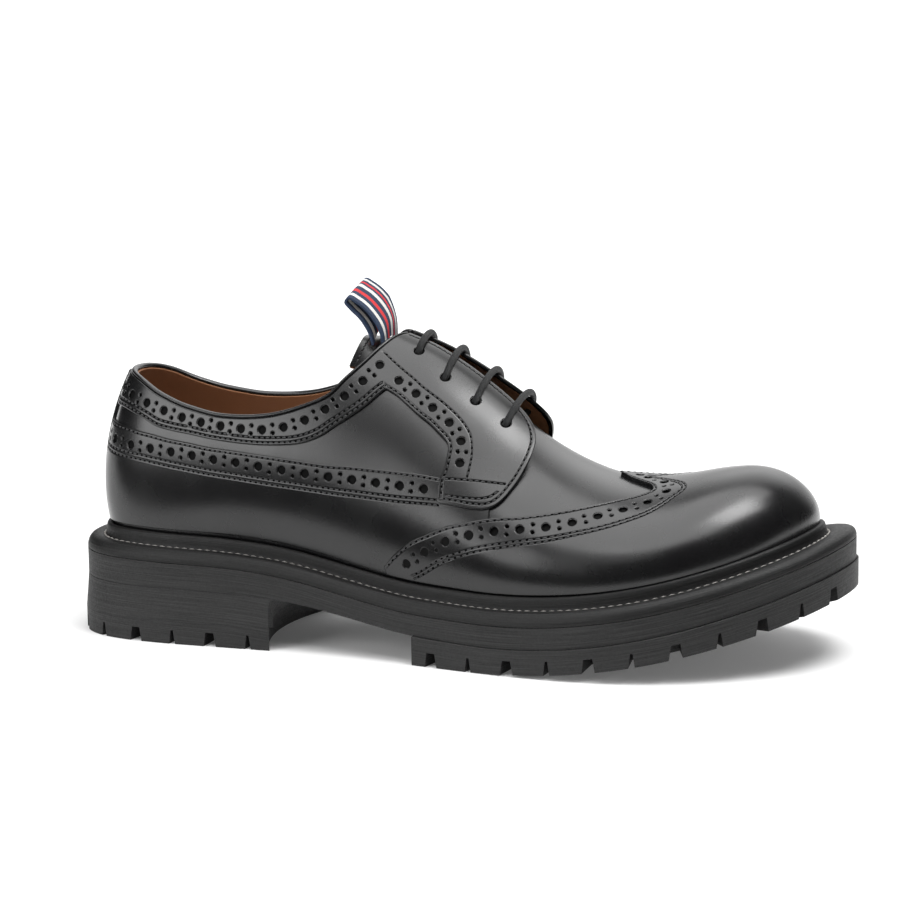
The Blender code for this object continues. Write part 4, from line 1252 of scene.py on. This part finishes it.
def make_wing():
    """Wing tip over the toe."""
    lateral = through(WING_LATERAL)
    medial = through(mirrored(WING_LATERAL))
    toe = np.linspace(lateral[0, 0], 1, TOE_POINTS)
    edges = []
    for line, outward in ((lateral, EDGE_OUT), (medial, -EDGE_OUT)):
        taper = np.clip(np.linspace(len(line), 0, len(line)) * FINE / WING_TAPER, 0, 1)
        edges.append(offset(line, outward * taper[:, None]))
    low = np.full(TOE_POINTS, LOW_RISE)
    edge = np.vstack([np.c_[toe, low], np.c_[toe[::-1], 2 - low][1:], edges[1][1:], edges[0][::-1][1:-1]])
    row = through(WING_ROW)
    medial_row = through(mirrored(WING_ROW))
    rows = [lateral, medial, row, offset(row, WING_ROW_SPACING),
            medial_row, offset(medial_row, -WING_ROW_SPACING)]
    holes = hole_line(through(WING_HOLES), *WING_MARKS)
    holes += hole_line(through(mirrored(WING_HOLES)), *WING_MARKS)
    u = np.arange(lateral[0, 0], 1.0, WING_FILL_GAP / HALF_LENGTH[0])
    fill = [np.c_[u, np.full(len(u), v)] for v in np.arange(WING_FILL_RISE, WING_FILL_TOP, WING_FILL_RISE)]
    add_panel("wing_leather", edge, holes, rows, "black_leather", ("wing_cap",), chart=fan_chart,
              top=WING_TOP_OUT, fill=np.vstack(fill), floor_stand=wing_floor)
    for line in rows:
        stitch_row(line, WING_TOP_OUT, WING_STITCH)


# Shell, tongue, cord and tape

def opening(u):
    """Rise at which the upper ends: along the collar and throat, and on the ridge in front."""
    along = u_along(u)
    close = eased((along - THROAT_CLOSE) / (THROAT_END - THROAT_CLOSE))
    return upper_top(along)[0] * (1 - close) + close


def make_upper():
    """Leather shell with its tan lining, open at collar and throat."""
    u = np.linspace(-1, 1, 2 * UPPER_COLUMNS + 1)
    share = np.linspace(0, 1, UPPER_ROWS)
    v = np.vstack([np.full_like(u, -1.0), np.full_like(u, FOOT_ROW), share[:, None] * opening(u)])
    faces = grid_faces(len(v), len(u))
    flat_u = np.broadcast_to(u, v.shape).ravel()
    kept, faces = weld(last(flat_u, v.ravel()), faces)
    layers = [surface(flat_u[kept], v.ravel()[kept], np.full(len(kept), out))
              for out in (LEATHER_OUT, LEATHER_OUT - LEATHER, LEATHER_OUT - LEATHER - CLEAR, -WALL)]
    add("upper_leather", *thick(layers[0], layers[1], faces), black_leather, "black_leather", ("upper",),
        sharp=SHARP)
    add("upper_lining", *thick(layers[2], layers[3], faces), tan_leather, "tan_lining", sharp=SHARP)


def make_collar_bead():
    """Rolled edge of the collar, over the band and the lining."""
    line = resample(both_sides(COLLAR), BEAD_GAP)
    path = surface(*line.T, facing_stand(*line.T) - BEAD_SUNK)
    points, faces = tube(path, BEAD_RADIUS, BEAD_SIDES, last_normal(*line.T), BEAD_FLAT)
    add("collar_bead", points, faces, black_leather, "black_leather")


def make_back_strip():
    """Strip up the back seam."""
    half = float(along_u(BACK_STRIP_HALF))
    v = np.linspace(*BACK_STRIP_RISE, BACK_STRIP_POINTS)
    edge = np.vstack([np.c_[np.full_like(v, half), v], np.c_[np.full_like(v, -half), v[::-1]]])
    rows = [np.c_[np.full_like(v, side * half * BACK_ROW_SHARE), v] for side in (1, -1)]
    add_panel("back_strip_leather", edge, [], rows, "black_leather", ("back_strip",), stand=strip_stand,
              top=BACK_STRIP_TOP, base=-PANEL_TOP)
    for row in rows:
        stitch_row(row, BACK_STRIP_TOP, stand=strip_stand)


def strip_stand(u, v):
    """The back strip lies over foxing and band."""
    return np.full(np.broadcast(u, v).shape, PANEL_TOP - CLEAR)


def tongue_stand(u, v):
    """The tongue lies inside the throat and leans in towards its top."""
    lean = np.clip((TONGUE_BEND - u_along(u)) / (TONGUE_BEND - TONGUE_TOP), 0, 1) ** 2
    return -(WALL + TONGUE_CLEAR + TONGUE_LEAN * lean)


def make_tongue():
    """Tongue with its lining and a stitched top edge."""
    across = np.linspace(-TONGUE_HALF, TONGUE_HALF, TONGUE_COLUMNS)[None, :]
    top = TONGUE_TOP + TONGUE_TOP_BOW * (1 - (across / TONGUE_HALF) ** 2)
    share = np.linspace(0, 1, TONGUE_ROWS)[:, None]
    along = top + (TONGUE_FOOT - top) * share
    u, v = np.broadcast_arrays(along_u(along), 1 + across)
    u, v = u.ravel(), v.ravel()
    faces = [face[::-1] for face in grid_faces(TONGUE_ROWS, TONGUE_COLUMNS)]
    depth = tongue_stand(u, v)
    layers = [surface(u, v, depth - share * TONGUE) for share in TONGUE_LAYERS]
    add("tongue_leather", *thick(layers[0], layers[1], faces), black_leather, "black_leather", ("tongue",),
        sharp=SHARP)
    add("tongue_lining", *thick(layers[2], layers[3], faces), tan_leather, "tan_lining", sharp=SHARP)
    edge = np.linspace(-1, 1, TONGUE_ROW_POINTS) * TONGUE_ROW_HALF
    top = TONGUE_TOP + TONGUE_ROW_IN + TONGUE_TOP_BOW * (1 - (edge / TONGUE_HALF) ** 2)
    stitch_row(np.c_[along_u(top), 1 + edge], TONGUE_ROW_OUT, stand=tongue_stand)


def smooth_path(points, gap):
    """Points a given distance apart on a smooth path through others."""
    points = np.asarray(points, float)
    run = length_of(points)
    return np.stack(curve(np.c_[run, points])(np.linspace(0, run[-1], int(run[-1] / gap) + 1)), 1)


def set_map(piece, values):
    """Map of a piece's surface from two values at each point."""
    layer = piece.data.uv_layers.new(name="map")
    index = np.empty(len(piece.data.loops), int)
    piece.data.loops.foreach_get("vertex_index", index)
    layer.data.foreach_set("uv", np.asarray(values, np.float32)[index].ravel())


def make_laces():
    """Bars of the round lace, down through the eyelets at both ends."""
    for number, (along, rise) in enumerate(EYELETS, 1):
        u = along_u(along)
        front = facing_front(1)
        upright = front[:np.argmax(front[:, 0])]
        edge = 1 - np.interp(u, upright[:, 0], upright[:, 1])
        reach = 1 - rise
        across = np.r_[-reach * np.array(LACE_BEND), -(reach + edge) / 2, -edge - LACE_PAST]
        across = np.r_[across, -across[::-1]]
        lift = np.r_[LACE_LIFT, LACE_LIFT[::-1]] + PANEL_TOP
        v = 1 + across
        path = surface(np.full_like(v, u), v, lift + facing_stand(u, 1 - np.abs(across)))
        path = smooth_path(path, LACE_GAP)
        points, faces = tube(path, LACE_DIAMETER / 2, LACE_SIDES)
        lace = add(f"lace_{number}", points, faces, cord, "charcoal_cord", (f"lace_bar_{number}",))
        turn = np.tile(np.linspace(0, pi * LACE_DIAMETER, LACE_SIDES, endpoint=False), len(path))
        run = np.repeat(length_of(path), LACE_SIDES)
        set_map(lace, np.vstack([np.c_[turn, run], np.zeros((2, 2))]))


def make_loop():
    """Woven tape folded over at the top of the tongue."""
    path = smooth_path(np.c_[LOOP_PATH, np.zeros(len(LOOP_PATH))], LOOP_GAP)[:, :2]
    across = np.linspace(-1, 1, LOOP_COLUMNS) * LOOP_HALF_ACROSS
    u = np.full(LOOP_COLUMNS, along_u(LOOP_ALONG))
    base = surface(u, 1 + across, tongue_stand(u, 1 + across) + GAP + LOOP_TAPE)
    flat = np.clip(path[:, 1] / LOOP_FLAT_AT, 0, 1)[:, None]
    crown = base[:, 2].max()
    y = np.broadcast_to(base[None, :, 1], (len(path), LOOP_COLUMNS))
    x = base[None, :, 0] + path[:, 0:1] + LOOP_SKEW * flat * (y - y.mean())
    z = base[None, :, 2] + (crown - base[None, :, 2]) * flat + path[:, 1:2]
    z = z + LOOP_TWIST * flat * (y - y.mean())
    sheet = np.dstack([x, y, z])
    normal = unit(np.cross(np.gradient(sheet, axis=1), np.gradient(sheet, axis=0)))
    faces = [face[::-1] for face in grid_faces(len(path), LOOP_COLUMNS)]
    front, back = [(sheet + half * normal).reshape(-1, 3) for half in (LOOP_TAPE / 2, -LOOP_TAPE / 2)]
    points, faces = thick(front, back, faces)
    loop = add("tape_loop", points, faces, tape, "navy_tape", ("pull_loop",), sharp=SHARP)
    run = np.repeat(length_of(np.c_[path, np.zeros(len(path))]), LOOP_COLUMNS)
    share = np.tile(np.linspace(0, 1, LOOP_COLUMNS), len(path))
    set_map(loop, np.tile(np.c_[share, run], (2, 1)))


# Sole

def run_to(side, x):
    """Place u on one side of the outline where it passes x."""
    return np.interp(x, HALVES[side][:, 0], np.linspace(0, 1, HALF_SAMPLES))


def sole_loop(start_x, end_x, out=0.0, back_bow=0.0, front_bow=0.0):
    """Closed plan of a sole piece between two stations, from its lateral back corner."""
    sides = []
    for side in (0, 1):
        u = np.linspace(run_to(side, start_x), run_to(side, end_x), SOLE_COLUMNS)
        point, normal = outline(side, u)
        sides.append(point + normal * out)
    share = np.linspace(0, 1, BOW_POINTS)[1:-1]
    hollow = 4 * share * (1 - share)
    loop = [sides[0]]
    if end_x < LENGTH:
        front = sides[0][-1] + (sides[1][-1] - sides[0][-1]) * share[:, None]
        loop.append(front - np.c_[front_bow * hollow, 0 * hollow])
        loop.append(sides[1][::-1])
    else:
        loop.append(sides[1][-2::-1])
    if start_x > 0:
        back = sides[1][0] + (sides[0][0] - sides[1][0]) * share[:, None]
        loop.append(back + np.c_[back_bow * hollow, 0 * hollow])
    else:
        loop[-1] = loop[-1][:-1]
    return np.vstack(loop)


def loop_normals(loop):
    """Outward normals of a closed plan that runs anticlockwise."""
    ahead = unit(np.roll(loop, -1, axis=0) - np.roll(loop, 1, axis=0))
    return np.c_[ahead[:, 1], -ahead[:, 0]]


def cap(loop, height, up):
    """Points inside a closed plan and the faces that close it; the loop's own points come first."""
    low, high = loop.min(0), loop.max(0)
    grid = np.stack(np.meshgrid(*[np.arange(*span, CAP_GAP) for span in zip(low, high)]), -1)
    spots = grid.reshape(-1, 2)
    found = tree_of(np.c_[loop, np.zeros(len(loop))])
    far = np.array([found.find((x, y, 0.0))[2] > CAP_CLEAR for x, y in spots])
    spots = spots[far & inside(spots, loop)]
    flat = np.vstack([loop, spots])
    count = len(loop)
    ties = [(i, (i + 1) % count) for i in range(count)]
    found = triangles(flat, ties, loop, CAP_TINY)
    return np.c_[spots, height(spots[:, 0])], found if up else found[:, ::-1], count


def block(loop, levels):
    """Closed solid over a plan: rings from the top down, each with an inset and a height from x."""
    normal = loop_normals(loop)
    rings = []
    for inset, height in levels:
        plan = loop - normal * inset
        rings.append(np.c_[plan, height(plan[:, 0])])
    count = len(loop)
    points = np.vstack(rings)
    faces = [face[::-1] for face in grid_faces(len(rings), count, closed_columns=True)]
    for ring, height, up in ((0, levels[0][1], True), (len(rings) - 1, levels[-1][1], False)):
        more, found, size = cap(rings[ring][:, :2], height, up)
        start = len(points)
        for face in found:
            faces.append([ring * count + i if i < size else start + i - size for i in face])
        points = np.vstack([points, more])
    return points, faces


def groove_box(bm, side, u, width):
    """One tapered groove, from outside the sole's edge inwards, along its underside."""
    point, normal = outline(side, np.array(u))
    ahead = np.array([-normal[1], normal[0]])
    for vert in bmesh.ops.create_cube(bm, size=2.0)["verts"]:
        inward = vert.co.x < 0
        top = vert.co.z > 0
        spot = point + normal * (-LUG_REACH if inward else GROOVE_OVERRUN)
        half = (width[1] if top else 2 * width[0] - width[1]) / 2
        spot = spot + ahead * half * vert.co.y
        vert.co = place((*spot, spring(spot[0]) + (LUG_DEPTH if top else -LUG_DEPTH)))


def cut_lugs(piece, first, end):
    """Take the grooves of both sides out of a sole piece."""
    bm = bmesh.new()
    for side in (0, 1):
        for number, run in enumerate(np.arange(first, end, LUG_PITCH)):
            groove_box(bm, side, run / HALF_LENGTH[side], GROOVE_NARROW if number % 2 else GROOVE_WIDE)
    bmesh.ops.recalc_face_normals(bm, faces=bm.faces)
    mesh = bpy.data.meshes.new("grooves")
    bm.to_mesh(mesh)
    bm.free()
    cutter = linked("grooves", mesh)
    knife = piece.modifiers.new("lugs", "BOOLEAN")
    knife.operation = "DIFFERENCE"
    knife.solver = "EXACT"
    knife.object = cutter
    made = bpy.data.meshes.new_from_object(piece.evaluated_get(bpy.context.evaluated_depsgraph_get()))
    piece.modifiers.remove(knife)
    piece.data = made
    bpy.data.objects.remove(cutter, do_unlink=True)
    made.shade_smooth()
    made.set_sharp_from_angle(angle=radians(SOLE_SHARP))


def edge_map(piece):
    """Map a sole piece by its run and by its height over the line under the welt."""
    spots = np.empty(3 * len(piece.data.vertices), np.float32)
    piece.data.vertices.foreach_get("co", spots)
    spots = spots.reshape(-1, 3) / MM + MIDDLE
    set_map(piece, np.c_[spots[:, 0] + spots[:, 1], spots[:, 2] - welt_z(spots[:, 0])])


def rounded(top, bottom, radius, flare=0.0):
    """Levels of a block's side with rounded edges; flare widens its foot."""
    levels = [(inset * radius, lambda x, d=drop: top(x) - d * radius) for inset, drop in ROUND_EDGE]
    for share in np.linspace(*SIDE_LEVELS):
        levels.append((-flare * share, lambda x, s=share: top(x) * (1 - s) + bottom(x) * s))
    levels += [(inset * radius - flare, lambda x, d=drop: bottom(x) + d * radius)
               for inset, drop in reversed(ROUND_EDGE)]
    return levels


def make_sole():
    """Midsole, heel and lugged plate, and the insole."""
    heel_top = HEEL_LIFT + CLEAR
    pieces = (
        ("midsole_rubber", sole_loop(0, LENGTH),
         rounded(lambda x: welt_z(x) - CLEAR, midsole_z, MIDSOLE_EDGE), "midsole"),
        ("heel_block_rubber", sole_loop(0, BREAST_X, front_bow=BREAST_BOW),
         rounded(lambda x: midsole_z(x) - CLEAR, lambda x: np.full_like(x, heel_top), HEEL_EDGE, HEEL_FLARE),
         "heel_block"),
        ("heel_lift_rubber", sole_loop(0, BREAST_X, HEEL_FLARE, front_bow=BREAST_BOW),
         rounded(lambda x: np.full_like(x, HEEL_LIFT), np.zeros_like, HEEL_EDGE), "heel_lift"),
        ("outsole_rubber", sole_loop(PLATE_BACK_X, LENGTH, OUTSOLE_LEDGE, back_bow=PLATE_BOW),
         rounded(lambda x: midsole_z(x) - CLEAR, spring, PLATE_EDGE), "outsole"),
    )
    for name, loop, levels, node_name in pieces:
        piece = add(name, *block(loop, levels), sole_rubber, "black_rubber", (node_name,), sharp=SOLE_SHARP)
        if node_name == "outsole":
            cut_lugs(piece, PLATE_FIRST_GROOVE, HALF_LENGTH[1] - TIP_CLEAR)
        if node_name == "heel_lift":
            breast_run = run_to(0, BREAST_X) * HALF_LENGTH[0]
            cut_lugs(piece, HEEL_FIRST_GROOVE, breast_run - LUG_PITCH / 2)
        edge_map(piece)
    u = np.linspace(0, 1, SOLE_COLUMNS)
    inset = -(WALL + 2 * GAP)
    board = np.vstack([feather(0, u, inset), feather(1, u, inset)[-2:0:-1]])
    levels = [(INSOLE_INSET, lambda x: welt_z(x) + GAP + INSOLE),
              (0.0, lambda x: welt_z(x) + GAP + INSOLE - INSOLE_BEVEL),
              (0.0, lambda x: welt_z(x) + GAP)]
    add("insole_board", *block(board, levels), tan_leather, "tan_lining", ("insole",), sharp=SHARP)


def make_welt():
    """Ring round the upper: storm lip, stitch groove, ledge and rounded edge, with its stitching."""
    u = np.linspace(0, 1, SOLE_COLUMNS)
    halves = []
    for side, run in ((0, u), (1, u[-2:0:-1])):
        point, normal = outline(side, run)
        halves.append(np.c_[point, normal])
    ring = np.vstack(halves)
    reach = (welt_reach(ring[:, 0])[0] - GAP)[:, None]

    def at(share, height):
        plan = ring[:, :2] - ring[:, 2:] * (reach * (1 - share))
        return np.c_[plan, welt_z(plan[:, 0]) + height]

    rows = [at(share, height) for share, height in WELT_PROFILE]
    points = np.vstack(rows)
    faces = [face[::-1] for face in grid_faces(len(rows), len(ring), closed_rows=True, closed_columns=True)]
    welt = add("welt_rubber", points, faces, welt_rubber, "black_rubber", ("welt",), sharp=SHARP)
    edge_map(welt)
    path = at(WELT_ROW_SHARE, WELT_ROW_HEIGHT)
    path = np.vstack([path, path[:1]])
    run = length_of(path)
    places = np.arange(0, run[-1], WELT_STITCH)
    middle, before, after = [at_run(path, run, places + shift) for shift in (0.0, -WELT_AIM, WELT_AIM)]
    ahead = unit(after - before)
    side = unit(np.cross(ahead, (0.0, 0.0, 1.0)))
    points, faces = capsules(middle, ahead, np.cross(side, ahead), WELT_STITCH_SHARE * WELT_STITCH,
                             WELT_STITCH_RADIUS)
    add("welt_stitching", points, faces, welt_thread, "charcoal_cord")


# Stage and lights

def make_stage():
    """Pale floor in two strips and the photograph's camera."""
    pale, tree, shader = node_material("pale_floor", PALE, FLOOR_ROUGH)
    shader.inputs["Emission Color"].default_value = WHITE
    shader.inputs["Specular IOR Level"].default_value = 0.0
    far = node(tree, "ShaderNodeVectorMath")
    far.operation = "LENGTH"
    tree.links.new(node(tree, "ShaderNodeTexCoord").outputs["Object"], far.inputs[0])
    # Painted light: glow rising with distance from SHADOW_X.
    glow = ranged(tree, far.outputs["Value"], *FLOOR_GLOW, GLOW_SPAN)
    tree.links.new(glow, shader.inputs["Emission Strength"])
    strips = (("floor", FLOOR_REACH, FLOOR_SPLIT), ("floor_front", FLOOR_SPLIT, -FLOOR_REACH))
    for name, back_y, front_y in strips:
        mesh = bpy.data.meshes.new(name)
        corners = [(-FLOOR_REACH, front_y, 0), (FLOOR_REACH, front_y, 0), (FLOOR_REACH, back_y, 0),
                   (-FLOOR_REACH, back_y, 0)]
        mesh.from_pydata(corners, [], [(0, 1, 2, 3)])
        mesh.materials.append(pale)
        floor = linked(name, mesh)
        floor.location.x = SHADOW_X
        floor.visible_glossy = name == "floor"
    camera_data = bpy.data.cameras.new("camera")
    camera_data.sensor_width = CAMERA_SENSOR
    camera_data.lens = CAMERA_LENS
    camera_data.shift_x, camera_data.shift_y = CAMERA_SHIFT
    camera_data.clip_end = CAMERA_FAR
    camera = linked("camera", camera_data)
    yaw, tilt, roll = [radians(turn) for turn in CAMERA_TURN]
    back = np.array((sin(yaw) * cos(tilt), -cos(yaw) * cos(tilt), sin(tilt)))
    right = np.array((cos(yaw), sin(yaw), 0.0))
    up = np.cross(back, right)
    level = np.stack([cos(roll) * right + sin(roll) * up, -sin(roll) * right + cos(roll) * up, back], 1)
    spot = place(CAMERA_AIM) + CAMERA_DISTANCE * back
    camera.matrix_world = Matrix.Translation(Vector(spot)) @ Matrix(level.tolist()).to_4x4()
    bpy.context.scene.camera = camera


def area_light(name, spot, target, size, power):
    """Soft rectangular light aimed at a place."""
    data = bpy.data.lights.new(name, "AREA")
    data.shape = "RECTANGLE"
    data.size, data.size_y = size
    data.energy = power
    lamp = linked(name, data)
    lamp.location = spot
    lamp.rotation_euler = (Vector(target) - Vector(spot)).to_track_quat("-Z", "Y").to_euler()


def make_lights():
    """Softboxes and a dim room with three bright patches."""
    for light in LIGHTS:
        area_light(*light)
    world = bpy.data.worlds.new("studio")
    bpy.context.scene.world = world
    world.use_nodes = True
    tree = world.node_tree
    coords = node(tree, "ShaderNodeTexCoord")
    sky = tree.nodes["Background"]
    sky.inputs["Color"].default_value = WHITE
    total = None
    for aim, edge, full, strength in SKY_LOBES:
        toward = node(tree, "ShaderNodeVectorMath")
        toward.operation = "DOT_PRODUCT"
        toward.inputs[1].default_value = aim
        tree.links.new(coords.outputs["Generated"], toward.inputs[0])
        lobe = ranged(tree, toward.outputs["Value"], SKY_DIM, strength, (edge, full))
        if total:
            both = node(tree, "ShaderNodeMath")
            tree.links.new(total, both.inputs[0])
            tree.links.new(lobe, both.inputs[1])
            lobe = both.outputs[0]
        total = lobe
    tree.links.new(total, sky.inputs["Strength"])
    bpy.context.scene.view_settings.view_transform = "Standard"


make_stage()
make_lights()
make_sole()
make_welt()
make_upper()
make_foxing()
make_wing()
make_collar_and_facings()
make_collar_bead()
make_back_strip()
make_tongue()
make_laces()
make_loop()
# Dark discs of painted shade in the punched holes, eyelets and needle holes, then the thread of the
# stitching.
small_work = (("hole_shade_discs", hole_shade_parts, hole_floor_shade), ("needle_hole_shade", needle_shade_parts, shade),
              ("upper_stitching", stitch_parts, thread))
for name, parts, finish in small_work:
    add(name, *join(parts), finish, "black_leather")
